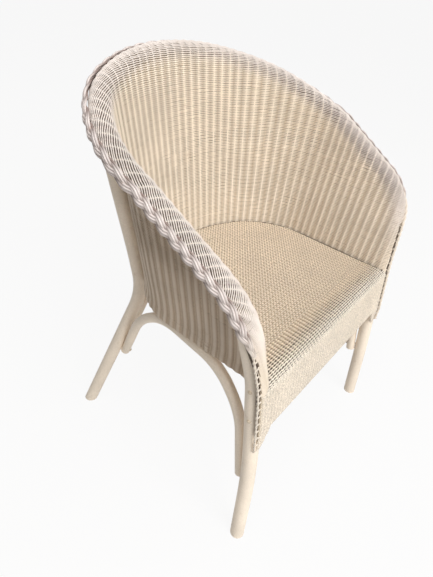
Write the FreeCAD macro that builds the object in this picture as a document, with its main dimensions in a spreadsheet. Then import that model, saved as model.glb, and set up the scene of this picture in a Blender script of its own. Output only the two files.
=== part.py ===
"""Woven tub armchair on a bent-wood frame, in millimetres.

+Z is up and the chair faces -Y. The origin lies on the floor under the middle
of the chair. The cloth of the tub is one sheet: it rises from the seat, leans
outward and rolls over a bent rim bow. Four bent legs stand outside the sheet,
and a seat frame lies inside it.
"""
import FreeCAD, Part
import Sketcher
import math
import os

V = FreeCAD.Vector
UP = V(0, 0, 1)

SIZES = {
    # Tub, measured on the inside of the cloth
    "seat_height": 409.0,
    "seat_half_width": 218.0,
    "seat_back_y": 165.7,
    "back_radius": 300.0,
    "back_angle": 25.0,
    "lean_front": 0.23,
    "lean_back": 0.145,
    "waist_ease": 30.0,
    "rim_height": 769.0,
    "rim_flat": 126.0,
    "arm_front_y": -188.2,
    "arm_front_z": 562.0,
    "arm_front_radius": 118.0,
    "post_slope": 0.1237,
    "skirt_drop": 26.0,
    "apron_depth": 109.0,
    "apron_overhang": 18.0,
    "apron_return": 15.0,
    "seat_roll_radius": 20.0,
    "hem_radius": 6.0,
    # Cloth and braid
    "cloth_thickness": 5.0,
    "cloth_ease": 1.2,
    "roll_end_angle": 150.0,
    "braid_thickness": 8.0,
    "braid_start_angle": 108.0,
    "braid_end_angle": 172.0,
    "braid_post_turn": 20.0,
    "braid_bottom": 262.0,
    # Bent rods
    "leg_diameter": 28.0,
    "bow_diameter": 26.0,
    "bow_end_drop": 4.0,
    "arch_diameter": 20.0,
    "seat_gap": 0.3,
    "cloth_gap": 1.2,
    "leg_clearance": 1.1,
    # Front legs, from the line of the arm's front edge
    "front_foot_splay": 16.5,
    "front_foot_back": 10.5,
    "front_knee_height": 200.0,
    "front_knee_out": 1.0,
    "front_knee_back": 0.5,
    "front_waist_back": 4.5,
    "front_neck_length": 22.0,
    "front_neck_back": 3.0,
    "front_knee_bend": 90.0,
    "front_waist_bend": 25.0,
    "front_neck_bend": 10.0,
    # Back legs, feet from the seat's side and back, the rest by plan angle from straight back
    "back_foot_out": 31.0,
    "back_foot_back": 63.7,
    "back_leg_angle": 34.0,
    "back_top_angle": 50.0,
    "back_knee_drop": 64.0,
    "back_knee_inset": 5.0,
    # Arches, from the arm's front edge and from the back of the seat
    "side_arch_front_tip": 157.0,
    "side_arch_rear_tip": 180.0,
    "side_arch_front_turn": 1.2,
    "side_arch_top_front": 63.2,
    "side_arch_top_rear": 137.7,
    "side_arch_rear_turn": 61.7,
    "side_arch_screw_share": 0.686,
    "rear_arch_tip": 185.0,
    "rear_arch_top_inset": 122.0,
    "arch_shoulder": 0.7,
    # Seat frame
    "seat_bow_width": 18.0,
    "seat_bow_height": 23.0,
    "rail_thickness": 30.0,
    "rail_top_round": 17.0,
    "rail_notch": 1.5,
    "slat_width": 38.0,
    "slat_thickness": 12.0,
    # Fasteners
    "screw_diameter": 4.0,
    "screw_head_diameter": 7.0,
    "screw_head_height": 2.4,
    "screw_tip": 5.0,
    "leg_screw_length": 48.0,
    "bow_screw_length": 38.0,
    "arch_screw_length": 32.0,
    "leg_screw_upper_drop": 12.0,
    "leg_screw_lower_drop": 76.5,
    "leg_screw_turn": 10.0,
    "arch_screw_rise": 20.0,
    "dowel_diameter": 8.0,
    "dowel_length": 28.0,
    "slat_dowel_diameter": 6.0,
    "slat_dowel_length": 26.0,
    "tack_diameter": 2.0,
    "tack_length": 14.0,
    "tack_head_diameter": 7.0,
    "tack_head_height": 1.0,
    "tack_pitch": 64.0,
    "hole_clearance": 0.1,
}
SLAT_COUNT = 3
TACK_COUNT = 7
WALL_STEPS = 12
ROLL_STEPS = 9
BRAID_STEPS = 6
RIM_STATIONS = 40
BOW_STATIONS = 12
BOW_FINENESS = 8
PANEL_OVERRUN = 400.0
REACH = 1000.0

doc = FreeCAD.newDocument("TubArmchair")
sheet = doc.addObject("Spreadsheet::Sheet", "Sizes")
for row, (alias, value) in enumerate(SIZES.items(), start=1):
    sheet.set("A%d" % row, alias)
    sheet.set("B%d" % row, str(value))
    sheet.setAlias("B%d" % row, alias)
doc.recompute()


def size(alias):
    """Read one driving dimension from the sheet."""
    return float(sheet.get(alias))


CLOTH = size("cloth_thickness")
GAP = size("seat_gap")
CLOTH_GAP = size("cloth_gap")
SEAT = size("seat_height")
LEG_R = size("leg_diameter") / 2
BOW_R = size("bow_diameter") / 2
ARCH_R = size("arch_diameter") / 2
ROLL_IN = BOW_R + size("cloth_ease")
ROLL_OUT = ROLL_IN + CLOTH
SKIRT_Z = SEAT - size("skirt_drop")
FRAME_TOP = SEAT - CLOTH - GAP
FRAME_BOTTOM = FRAME_TOP - size("seat_bow_height")
LEG_OFFSET = CLOTH + size("leg_clearance") + LEG_R
HALF_BACK = math.radians(size("back_angle"))


# Plan of the tub: straight sides, round corners and a flatter back
CORNER_R = ((size("seat_half_width") - size("back_radius") * math.sin(HALF_BACK))
            / (1 - math.sin(HALF_BACK)))
CORNER_X = (size("back_radius") - CORNER_R) * math.sin(HALF_BACK)
CORNER_Y = (size("seat_back_y") - size("back_radius")
            + (size("back_radius") - CORNER_R) * math.cos(HALF_BACK))
BACK_RUN = size("back_radius") * HALF_BACK
CORNER_RUN = BACK_RUN + CORNER_R * (math.pi / 2 - HALF_BACK)


def plan(run):
    """Point and outward normal of the tub at the seat, by length from the middle of the back."""
    side = 1 if run >= 0 else -1
    along = abs(run)
    if along < BACK_RUN:
        turn = along / size("back_radius")
        centre = V(0, size("seat_back_y") - size("back_radius"), 0)
        radius = size("back_radius")
    else:
        turn = min(HALF_BACK + (along - BACK_RUN) / CORNER_R, math.pi / 2)
        centre = V(CORNER_X, CORNER_Y, 0)
        radius = CORNER_R
    normal = V(math.sin(turn), math.cos(turn), 0)
    point = centre + normal * radius - V(0, max(0, along - CORNER_RUN), 0)
    return V(side * point.x, point.y, 0), V(side * normal.x, normal.y, 0)


def run_at_y(y):
    """Length round the tub to a point of its straight side."""
    return CORNER_RUN + CORNER_Y - y


def run_at_angle(angle):
    """Length round the tub to a plan angle on its corner, in degrees from straight back."""
    return BACK_RUN + CORNER_R * (math.radians(angle) - HALF_BACK)


ARM_RUN = run_at_y(size("arm_front_y"))


def lean(run):
    """Outward lean of the cloth, which grows from the back to the arms."""
    share = min(1, abs(run) / ARM_RUN)
    return size("lean_back") + (size("lean_front") - size("lean_back")) * share ** 2


def rise(height):
    """Height above the seat with a soft bend at the waist, and its slope."""
    above = height - SEAT
    ease = size("waist_ease")
    if above <= -ease:
        return 0.0, 0.0
    if above >= ease:
        return above, 1.0
    return (above + ease) ** 2 / (4 * ease), (above + ease) / (2 * ease)


def wall(run, height, offset=0.0):
    """Point of the tub's inner face, moved outward along its normal."""
    point, outward = plan(run)
    lift, slope = rise(height)
    tilt = lean(run) * slope
    normal = (outward - UP * tilt).normalize()
    return point + outward * (lean(run) * lift) + UP * height + normal * offset


def wall_normal(run, height):
    """Outward normal of the tub's wall."""
    return wall(run, height, 1.0) - wall(run, height)


def post_y(height):
    """Front edge of the cloth at the front posts."""
    return size("arm_front_y") - size("post_slope") * (size("arm_front_z") - height)


def bend(before, corner, after, tangent):
    """Tangent points and middle of the arc that rounds a corner."""
    back = (before - corner).normalize()
    ahead = (after - corner).normalize()
    half = back.getAngle(ahead) / 2
    radius = tangent * math.tan(half)
    inward = (back + ahead).normalize()
    middle = corner + inward * (radius / math.sin(half) - radius)
    return corner + back * tangent, middle, corner + ahead * tangent


def bent_wire(points, tangents=None):
    """Straight runs joined by tangent arcs, each as large as its runs allow."""
    edges = []
    start = points[0]
    for index in range(1, len(points) - 1):
        before, corner, after = points[index - 1:index + 2]
        shorter = min(before.distanceToPoint(corner), after.distanceToPoint(corner))
        tangent = tangents[index - 1] if tangents else 0.45 * shorter
        first, middle, last = bend(before, corner, after, tangent)
        edges.append(Part.LineSegment(start, first).toShape())
        edges.append(Part.Arc(first, middle, last).toShape())
        start = last
    edges.append(Part.LineSegment(start, points[-1]).toShape())
    return Part.Wire(edges)


def rim_path(bottom):
    """Edge of the cloth from the middle of the back to a height on the post, run and height as x and z."""
    back = V(0, 0, size("rim_height"))
    turn = V(size("rim_flat"), 0, size("rim_height"))
    arm = V(ARM_RUN, 0, size("arm_front_z"))
    foot = V(run_at_y(post_y(bottom)), 0, bottom)
    half = (turn - arm).getAngle(foot - arm) / 2
    arm_tangent = size("arm_front_radius") / math.tan(half)
    return bent_wire([back, turn, arm, foot], [size("rim_flat") * 0.98, arm_tangent])


def above(path, height):
    """Part of a path that lies above a height."""
    return Part.makePolygon([p for p in path.discretize(Number=800) if p.z >= height])


def rim_stations(path, count):
    """Evenly spaced places round the whole edge, from the left end over the back to the right."""
    half = [(p.x, p.z) for p in path.discretize(Number=count)]
    return [(-run, height) for run, height in reversed(half[1:])] + half


def rim_frames(stations):
    """Centre of the roll, its inward and its upward directions at each station."""
    centres = [wall(run, height, ROLL_OUT) for run, height in stations]
    frames = []
    for index, (run, height) in enumerate(stations):
        ahead = centres[min(index + 1, len(centres) - 1)]
        behind = centres[max(index - 1, 0)]
        inward = wall_normal(run, height) * -1
        upward = inward.cross(ahead - behind).normalize()
        frames.append((centres[index], inward, upward))
    return frames


def on_roll(frame, angle, radius):
    """Point on the roll at an angle from its inner side."""
    centre, inward, upward = frame
    return centre + inward * (radius * math.cos(angle)) + upward * (radius * math.sin(angle))


def point_at_height(wire, height):
    """Point of a leg's centre line at a height."""
    points = wire.discretize(Number=600)
    for low, high in zip(points, points[1:]):
        if low.z <= height <= high.z:
            return low + (high - low) * ((height - low.z) / (high.z - low.z))
    raise ValueError("no point of the leg at height %.1f" % height)


def direction_at_height(wire, height):
    """Direction of a leg's centre line at a height."""
    return (point_at_height(wire, height + 2) - point_at_height(wire, height - 2)).normalize()


def square_to(axis, direction):
    """Part of a direction that is square to an axis."""
    return (direction - axis * direction.dot(axis)).normalize()


def mirrored(points):
    """The same points on the other side of the chair."""
    return [V(-p.x, p.y, p.z) for p in points]


# Document objects

def feature(label, shape):
    """A shape worked out in code."""
    item = doc.addObject("Part::Feature", label)
    item.Label = label
    item.Shape = shape
    return item


def pole(label, wire, diameter, extra=0.0):
    """Round rod along a bent wire, its diameter tied to the sheet."""
    path = feature(label + "_path", wire)
    first = wire.OrderedEdges[0]
    section = doc.addObject("Part::Circle", label + "_section")
    section.setExpression("Radius", "Sizes.%s / 2 + %s" % (diameter, extra))
    start = first.valueAt(first.FirstParameter)
    section.Placement = FreeCAD.Placement(start, FreeCAD.Rotation(UP, first.tangentAt(first.FirstParameter)))
    rod = doc.addObject("Part::Sweep", label + "_rod")
    rod.Sections = [section]
    rod.Spine = (path, ["Edge%d" % (i + 1) for i in range(len(wire.Edges))])
    rod.Solid = True
    return rod


def cut(label, base, tools):
    """One object less a list of others."""
    compound = doc.addObject("Part::Compound", label + "_tools")
    compound.Links = tools
    item = doc.addObject("Part::Cut", label)
    item.Label = label
    item.Base = base
    item.Tool = compound
    return item


def group(label, master, placements):
    """Separate copies of one fastener under one name."""
    doc.recompute()
    copies = []
    for placement in placements:
        copy = master.Shape.copy()
        copy.Placement = placement.multiply(copy.Placement)
        copies.append(copy)
    return feature(label, Part.Compound(copies))


def along(point, direction):
    """Placement at a point whose Z runs along a direction."""
    return FreeCAD.Placement(point, FreeCAD.Rotation(UP, direction))


def plane(body, role):
    """One of a body's own origin planes."""
    return next(p for p in body.Origin.OriginFeatures if p.Role == role)


def sketch_on(body, role, name, geometry):
    """Closed sketch on one of a body's own planes."""
    sketch = body.newObject("Sketcher::SketchObject", name)
    sketch.AttachmentSupport = [(plane(body, role), "")]
    sketch.MapMode = "FlatFace"
    sketch.addGeometry(geometry, False)
    return sketch


def turned(label, head_diameter, head_height, diameter, length, tip):
    """Round-headed screw or tack: head above the origin, shank down its -Z, turned from a sketch."""
    head_r, shank_r = size(head_diameter) / 2, size(diameter) / 2
    head_top = size(head_height)
    outline = [V(0, head_top, 0),
               V(head_r * 0.6, head_top, 0),
               V(head_r, head_top * 0.35, 0),
               V(head_r, 0, 0),
               V(shank_r, 0, 0),
               V(shank_r, size(tip) - size(length), 0),
               V(0, -size(length), 0)]
    body = doc.addObject("PartDesign::Body", label)
    edges = [Part.LineSegment(a, b) for a, b in zip(outline, outline[1:] + outline[:1])]
    sketch = sketch_on(body, "XZ_Plane", label + "_outline", edges)
    last = len(outline) - 2
    sketch.addConstraint(Sketcher.Constraint("DistanceY", last, 2, 0, 1, size(head_height) + size(length)))
    sketch.setExpression("Constraints[0]", "Sizes.%s + Sizes.%s" % (head_height, length))
    spin = body.newObject("PartDesign::Revolution", label + "_turning")
    spin.Profile = sketch
    spin.ReferenceAxis = (sketch, ["V_Axis"])
    spin.Angle = 360
    return body


def hole(start, direction, depth, diameter):
    """Drilled hole a little wider than what fills it."""
    radius = size(diameter) / 2 + size("hole_clearance")
    return Part.makeCylinder(radius, depth, start, direction)


# Rim bow, which the cloth rolls over
EDGE_BOTTOM = SEAT + CLOTH * 0.3
bow_path = above(rim_path(EDGE_BOTTOM), size("arm_front_z") - size("bow_end_drop"))
bow_frames = rim_frames(rim_stations(bow_path, BOW_STATIONS * BOW_FINENESS + 1))[::BOW_FINENESS]
bow_centres = [frame[0] for frame in bow_frames]
bow_tangents = [frame[2].cross(frame[1]) for frame in bow_frames]


def corner_between(index):
    """Corner where the bow's tangents at two stations meet, kept between the stations."""
    ahead, onward = bow_tangents[index], bow_tangents[index + 1]
    between = bow_centres[index + 1] - bow_centres[index]
    lead = ahead.dot(onward)
    spread = max(1 - lead * lead, 1e-6)
    half = between.Length / 2
    places = []
    for centre, along_it, other, way in ((bow_centres[index], ahead, onward, 1),
                                         (bow_centres[index + 1], onward, ahead, -1)):
        reach = way * (along_it.dot(between) - lead * other.dot(between)) / spread
        places.append(centre + along_it * (way * min(max(reach, half * 0.8), half * 1.2)))
    return (places[0] + places[1]) * 0.5


corners = [corner_between(index) for index in range(len(bow_centres) - 1)]
bow_wire = bent_wire([bow_centres[0]] + corners + [bow_centres[-1]])
rim_rod = pole("rim_bow", bow_wire, "bow_diameter")
bow_room = pole("rim_bow_room", bow_wire, "bow_diameter", GAP)


def rim_height_at(run):
    """Height of the cloth's edge along the arm and back."""
    marks = [(p.x, p.z) for p in rim_path(EDGE_BOTTOM).discretize(Number=800)]
    return next(height for along_run, height in marks if along_run >= run)


# Legs
waist_x = size("seat_half_width") + LEG_OFFSET
knee_z = size("front_knee_height")
bow_end, bow_end_in, bow_end_up = bow_frames[-1]
bow_end_down = bow_tangents[-1] * (-1 if bow_tangents[-1].z > 0 else 1)
front_bow = bow_end - bow_end_up * size("front_neck_back") - bow_end_in * (LEG_OFFSET - ROLL_OUT)
front_foot = V(waist_x + size("front_foot_splay"), post_y(0) + size("front_foot_back"), 0)
front_knee = V(waist_x + size("front_knee_out"), post_y(knee_z) + size("front_knee_back"), knee_z)
front_waist = V(waist_x, post_y(SEAT) + size("front_waist_back"), SEAT)
front_neck = front_bow + bow_end_down * size("front_neck_length")
front_top = front_bow + bow_end_down * GAP
front_start = front_foot + (front_foot - front_knee).normalize() * LEG_R
front_points = [front_start, front_knee, front_waist, front_neck, front_top]
front_bends = [size("front_knee_bend"), size("front_waist_bend"), size("front_neck_bend")]

back_knee_z = SEAT - size("back_knee_drop")
low_run, high_run = run_at_angle(size("back_leg_angle")), run_at_angle(size("back_top_angle"))
back_knee = wall(low_run, back_knee_z, LEG_OFFSET - size("back_knee_inset"))
back_foot = V(size("seat_half_width") + size("back_foot_out"),
              size("seat_back_y") + size("back_foot_back"), 0)
back_bow = wall(high_run, rim_height_at(high_run), LEG_OFFSET)
back_rise = back_bow.z - back_knee_z


def beside_wall(share):
    """Place of a back leg's centre outside the tub, by its share of the height to the rim."""
    return wall(low_run + (high_run - low_run) * share, back_knee_z + back_rise * share, LEG_OFFSET)


back_start = back_foot + (back_foot - back_knee).normalize() * LEG_R
back_points = [back_start, back_knee, beside_wall(0.28), beside_wall(0.62)]
back_top = back_bow - (back_bow - back_points[-1]).normalize() * (BOW_R * 0.75)
back_points.append(back_top)

floor = doc.addObject("Part::Box", "floor_room")
floor.Length = floor.Width = REACH * 2
floor.Height = REACH
floor.Placement.Base = V(-REACH, -REACH, -REACH)

# Screws, dowels and tacks, one pattern of each
screw_sizes = ("screw_head_diameter", "screw_head_height", "screw_diameter")
leg_screw = turned("leg_screw", *screw_sizes, "leg_screw_length", "screw_tip")
bow_screw = turned("bow_screw", *screw_sizes, "bow_screw_length", "screw_tip")
arch_screw = turned("arch_screw", *screw_sizes, "arch_screw_length", "screw_tip")
tack = turned("tack", "tack_head_diameter", "tack_head_height", "tack_diameter", "tack_length", "screw_tip")
dowel = doc.addObject("Part::Cylinder", "dowel")
dowel.setExpression("Radius", "Sizes.dowel_diameter / 2")
dowel.setExpression("Height", "Sizes.dowel_length")
slat_dowel = doc.addObject("Part::Cylinder", "slat_dowel")
slat_dowel.setExpression("Radius", "Sizes.slat_dowel_diameter / 2")
slat_dowel.setExpression("Height", "Sizes.slat_dowel_length")

# Front rail, leaning with the apron in front of it
RAIL_BOTTOM = SEAT - size("apron_depth") + CLOTH + GAP
rail_tilt = math.atan(size("post_slope"))
rail_half = waist_x - LEG_R - GAP
rail_low_front = RAIL_BOTTOM + size("rail_thickness") * math.sin(rail_tilt)
rail_front_y = post_y(rail_low_front) - ROLL_OUT + (CLOTH + GAP) / math.cos(rail_tilt)
rail_up = V(0, math.sin(rail_tilt), math.cos(rail_tilt))
rail_back = V(0, math.cos(rail_tilt), -math.sin(rail_tilt))
rail_box = doc.addObject("Part::Box", "front_rail_board")
rail_box.Length = rail_half * 2
rail_box.setExpression("Width", "Sizes.rail_thickness")
rail_box.Height = ((FRAME_TOP - RAIL_BOTTOM) / math.cos(rail_tilt)
                   - size("rail_thickness") * math.tan(rail_tilt))
rail_turn = FreeCAD.Rotation(V(1, 0, 0), -math.degrees(rail_tilt))
rail_corner = V(-rail_half, rail_front_y, rail_low_front)
rail_box.Placement = FreeCAD.Placement(rail_corner, rail_turn)


def rail_point(x, share, height):
    """Point in the rail, by its share of the thickness from the front and a height."""
    lift = (height - rail_corner.z) / math.cos(rail_tilt)
    return V(x, rail_corner.y, rail_corner.z) + rail_up * lift + rail_back * (size("rail_thickness") * share)


# Places of the fasteners, worked out on the right and mirrored to the left
front_wire, back_wire = bent_wire(front_points, front_bends), bent_wire(back_points)
leg_screw_marks = []
for drop in (size("leg_screw_upper_drop"), size("leg_screw_lower_drop")):
    height = SEAT - drop
    centre = point_at_height(front_wire, height)
    turn = math.radians(size("leg_screw_turn"))
    inward = square_to(direction_at_height(front_wire, height), V(-math.cos(turn), math.sin(turn), 0))
    leg_screw_marks.append((centre - inward * LEG_R, inward))

bow_mid = (FRAME_TOP + FRAME_BOTTOM) / 2
mark, outward = plan(low_run)
bow_inner = mark - outward * (CLOTH_GAP + size("seat_bow_width"))
bow_screw_marks = [(V(bow_inner.x, bow_inner.y, bow_mid), outward)]


def lying_on(leg, height, toward):
    """Centre of an arch's end that lies against a leg."""
    aside = square_to(direction_at_height(leg, height), toward)
    return point_at_height(leg, height) + aside * (LEG_R + ARCH_R + GAP)


arch_top = FRAME_BOTTOM - GAP - ARCH_R
front_tip = lying_on(front_wire, size("side_arch_front_tip"), V(-0.4, 0.92, 0))
rear_tip = lying_on(back_wire, size("side_arch_rear_tip"), V(-0.58, -0.815, 0))


def arch_place(y, height):
    """Point in the upright plane of the right arch."""
    share = (y - front_tip.y) / (rear_tip.y - front_tip.y)
    return V(front_tip.x + (rear_tip.x - front_tip.x) * share, y, height)


def shoulder_height(tip):
    """Height of the turn between an arch's tip and its top."""
    return tip.z + (arch_top - tip.z) * size("arch_shoulder")


top_front_y = size("arm_front_y") + size("side_arch_top_front")
top_rear_y = size("seat_back_y") - size("side_arch_top_rear")
front_turn_y = size("arm_front_y") + size("side_arch_front_turn")
rear_turn_y = size("seat_back_y") - size("side_arch_rear_turn")
side_points = [front_tip,
               arch_place(front_turn_y, shoulder_height(front_tip)),
               arch_place(top_front_y, arch_top),
               arch_place(top_rear_y, arch_top),
               arch_place(rear_turn_y, shoulder_height(rear_tip)),
               rear_tip]
side_wire = bent_wire(side_points)
inner_tip = lying_on(back_wire, size("rear_arch_tip"), V(-1, 0, 0))
inner_turn = lying_on(back_wire, shoulder_height(inner_tip), V(-1, 0, 0))
rear_y = size("seat_back_y") - CLOTH_GAP - size("seat_bow_width") * 0.7
rear_top = V(size("seat_half_width") - size("rear_arch_top_inset"), rear_y, arch_top)
rear_half = [inner_tip, inner_turn, rear_top]
rear_wire = bent_wire(mirrored(rear_half) + rear_half[::-1])

arch_screw_marks = []
for leg, arch, tip in ((front_wire, side_wire, front_tip), (back_wire, side_wire, rear_tip)):
    height = tip.z + size("arch_screw_rise")
    leg_point = point_at_height(leg, height)
    arch_points = arch.discretize(Number=600)
    arch_point = min(arch_points, key=lambda p: p.distanceToPoint(leg_point))
    inward = (leg_point - arch_point).normalize()
    arch_screw_marks.append((arch_point - inward * ARCH_R, inward))
leg_point = point_at_height(back_wire, inner_tip.z + size("arch_screw_rise"))
arch_point = min(rear_wire.discretize(Number=900), key=lambda p: p.distanceToPoint(leg_point))
inward = (leg_point - arch_point).normalize()
rear_screw_mark = (arch_point - inward * ARCH_R, inward)
apex_y = top_front_y + (top_rear_y - top_front_y) * size("side_arch_screw_share")
apex = min(side_wire.discretize(Number=900), key=lambda p: abs(p.y - apex_y))
arch_screw_marks.append((apex - UP * ARCH_R, UP))
rear_apex_mark = (V(0, rear_y, arch_top - ARCH_R), UP)

rim_dowel_marks = []
for points, bow_point in ((front_points, front_bow), (back_points, back_bow)):
    down = (points[-2] - points[-1]).normalize()
    rim_dowel_marks.append((bow_point - down * (size("dowel_length") * 0.3), down))
bow_middle_x = size("seat_half_width") - CLOTH_GAP - size("seat_bow_width") / 2
rail_dowel_start = rail_point(bow_middle_x, 1.0, bow_mid) - V(0, size("dowel_length") * 0.3, 0)
rail_dowel_marks = [(rail_dowel_start, V(0, 1, 0))]

rail_rear_y = rail_point(0, 1.0, bow_mid).y
bow_back_y = size("seat_back_y") - CLOTH_GAP - size("seat_bow_width")
slat_pitch = (bow_back_y - rail_rear_y) / (SLAT_COUNT + 1)
slat_places = [rail_rear_y + slat_pitch * (i + 1) for i in range(SLAT_COUNT)]


def inner_half_width(y, inset):
    """Half width of the tub's plan at a depth, less an inset."""
    if y <= CORNER_Y:
        return size("seat_half_width") - inset
    return CORNER_X + math.sqrt((CORNER_R - inset) ** 2 - (y - CORNER_Y) ** 2)


slat_dowel_marks = []
for y in slat_places:
    seat_x = inner_half_width(y, CLOTH_GAP + size("seat_bow_width"))
    start = V(seat_x + size("slat_dowel_length") * 0.45, y, FRAME_TOP - size("slat_thickness") / 2)
    slat_dowel_marks.append((start, V(-1, 0, 0)))

hem_z = SEAT - size("apron_depth")
tack_marks = []
for i in range(TACK_COUNT):
    x = (i - (TACK_COUNT - 1) / 2) * size("tack_pitch")
    under = rail_point(x, 0.5, RAIL_BOTTOM)
    tack_marks.append((V(x, under.y, hem_z), UP))


def both_sides(marks):
    """The marks of the right side and their mirror images."""
    left = [(V(-p.x, p.y, p.z), V(-d.x, d.y, d.z)) for p, d in marks]
    return marks + left


def screws(label, master, marks):
    """Fasteners with their heads on the marks, pointing along them."""
    return group(label, master, [along(point, direction * -1) for point, direction in marks])


def pins(label, master, marks):
    """Dowels that start on the marks."""
    return group(label, master, [along(point, direction) for point, direction in marks])


def holes(label, marks, length, diameter):
    """Drilled holes for a set of fasteners."""
    room = size("hole_clearance") * 2
    shapes = [hole(p - d * room, d, size(length) + room * 2, diameter) for p, d in marks]
    return feature(label, Part.Compound(shapes))


leg_marks = both_sides(leg_screw_marks)
bow_marks_all = both_sides(bow_screw_marks)
arch_marks = both_sides(arch_screw_marks + [rear_screw_mark]) + [rear_apex_mark]
rim_marks = both_sides(rim_dowel_marks)
rail_marks = both_sides(rail_dowel_marks)
slat_marks = both_sides(slat_dowel_marks)
leg_holes = holes("leg_screw_holes", leg_marks, "leg_screw_length", "screw_diameter")
bow_holes = holes("bow_screw_holes", bow_marks_all, "bow_screw_length", "screw_diameter")
arch_holes = holes("arch_screw_holes", arch_marks, "arch_screw_length", "screw_diameter")
rim_holes = holes("rim_dowel_holes", rim_marks, "dowel_length", "dowel_diameter")
rail_holes = holes("rail_dowel_holes", rail_marks, "dowel_length", "dowel_diameter")
slat_holes = holes("slat_dowel_holes", slat_marks, "slat_dowel_length", "slat_dowel_diameter")
tack_holes = holes("tack_holes", tack_marks, "tack_length", "tack_diameter")

# Legs and arches as finished pieces
nodes = []
leg_rooms = []
for side, name in ((1, "right"), (-1, "left")):
    front = front_points if side > 0 else mirrored(front_points)
    back = back_points if side > 0 else mirrored(back_points)
    arch = side_points if side > 0 else mirrored(side_points)
    front_rod = pole("front_leg_" + name, bent_wire(front, front_bends), "leg_diameter")
    back_rod = pole("back_leg_" + name, bent_wire(back), "leg_diameter")
    arch_rod = pole("side_arch_" + name, bent_wire(arch), "arch_diameter")
    room_wire = bent_wire(front, front_bends)
    leg_rooms.append(pole("front_leg_room_" + name, room_wire, "leg_diameter", CLOTH_GAP))
    nodes.append(cut("front_leg_" + name, front_rod, [floor, bow_room, leg_holes, arch_holes, rim_holes]))
    nodes.append(cut("back_leg_" + name, back_rod, [floor, bow_room, bow_holes, arch_holes, rim_holes]))
    nodes.append(cut("side_arch_" + name, arch_rod, [arch_holes]))
rear_rod = pole("rear_arch", rear_wire, "arch_diameter")
nodes.append(cut("rear_arch", rear_rod, [arch_holes]))
nodes.append(cut("rim_bow", rim_rod, [rim_holes]))

# Rail with rounded top edge and notches where the cloth passes its ends
rail_round = doc.addObject("Part::Fillet", "front_rail_round")
rail_round.Base = rail_box
doc.recompute()
top_front = [i + 1 for i, edge in enumerate(rail_box.Shape.Edges)
             if abs(edge.tangentAt(edge.FirstParameter).x) > 0.99
             and edge.CenterOfMass.z > RAIL_BOTTOM + size("apron_depth") / 2
             and edge.CenterOfMass.y < rail_point(0, 0.5, edge.CenterOfMass.z).y]
rail_round.Edges = [(top_front[0], size("rail_top_round"), size("rail_top_round"))]
notches = []
for side in (1, -1):
    notch = doc.addObject("Part::Box", "rail_notch_%s" % ("right" if side > 0 else "left"))
    notch.Length = REACH
    notch.Width = REACH
    notch.Height = REACH
    inner_x = size("seat_half_width") - CLOTH_GAP
    notch_y = post_y(EDGE_BOTTOM) - size("rail_notch")
    notch.Placement.Base = V(inner_x if side > 0 else -inner_x - REACH, notch_y, SKIRT_Z - CLOTH)
    notches.append(notch)
nodes.append(cut("front_rail", rail_round, notches + [leg_holes, rail_holes, tack_holes]))

# Seat bow: a flat bent hoop inside the cloth


def tub_outline(inset, front_y):
    """Edges of the tub's plan, less an inset, from the right front round to the left."""
    half = size("seat_half_width") - inset
    back_centre = V(0, size("seat_back_y") - size("back_radius"), 0)
    right = V(CORNER_X, CORNER_Y, 0)
    left = V(-CORNER_X, CORNER_Y, 0)
    upper = math.pi / 2 - HALF_BACK
    corner_circle = CORNER_R - inset
    back_circle = size("back_radius") - inset
    return [Part.LineSegment(V(half, front_y, 0), V(half, CORNER_Y, 0)),
            Part.ArcOfCircle(Part.Circle(right, UP, corner_circle), 0, upper),
            Part.ArcOfCircle(Part.Circle(back_centre, UP, back_circle), upper, math.pi - upper),
            Part.ArcOfCircle(Part.Circle(left, UP, corner_circle), math.pi - upper, math.pi),
            Part.LineSegment(V(-half, CORNER_Y, 0), V(-half, front_y, 0))]


def plate(label, outline, bottom, height):
    """Flat piece padded up from a closed outline, its thickness tied to the sheet."""
    body = doc.addObject("PartDesign::Body", label)
    sketch = sketch_on(body, "XY_Plane", label + "_outline", outline)
    pad = body.newObject("PartDesign::Pad", label + "_pad")
    pad.Profile = sketch
    pad.setExpression("Length", height)
    body.Placement.Base = V(0, 0, bottom)
    return body


bow_inset, bow_inside = CLOTH_GAP, CLOTH_GAP + size("seat_bow_width")
bow_front = rail_rear_y - size("rail_thickness")
outer_edges = tub_outline(bow_inset, bow_front)
inner_edges = tub_outline(bow_inside, bow_front)
half_out, half_in = size("seat_half_width") - bow_inset, size("seat_half_width") - bow_inside
ends = [Part.LineSegment(V(half_out, bow_front, 0), V(half_in, bow_front, 0)),
        Part.LineSegment(V(-half_out, bow_front, 0), V(-half_in, bow_front, 0))]
hoop = plate("seat_bow_hoop", outer_edges + inner_edges + ends, FRAME_BOTTOM, "Sizes.seat_bow_height")
rail_room = doc.addObject("Part::Box", "rail_room")
rail_room.Length = REACH * 2
rail_room.Width = REACH
rail_room.Height = REACH
room_corner = rail_point(0, 1.0, RAIL_BOTTOM) + rail_back * GAP - rail_back * REACH - rail_up * (REACH / 2)
rail_room.Placement = FreeCAD.Placement(room_corner - V(REACH, 0, 0), rail_turn)
nodes.append(cut("seat_bow", hoop, [rail_room, bow_holes, arch_holes, rail_holes, slat_holes]))

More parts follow.
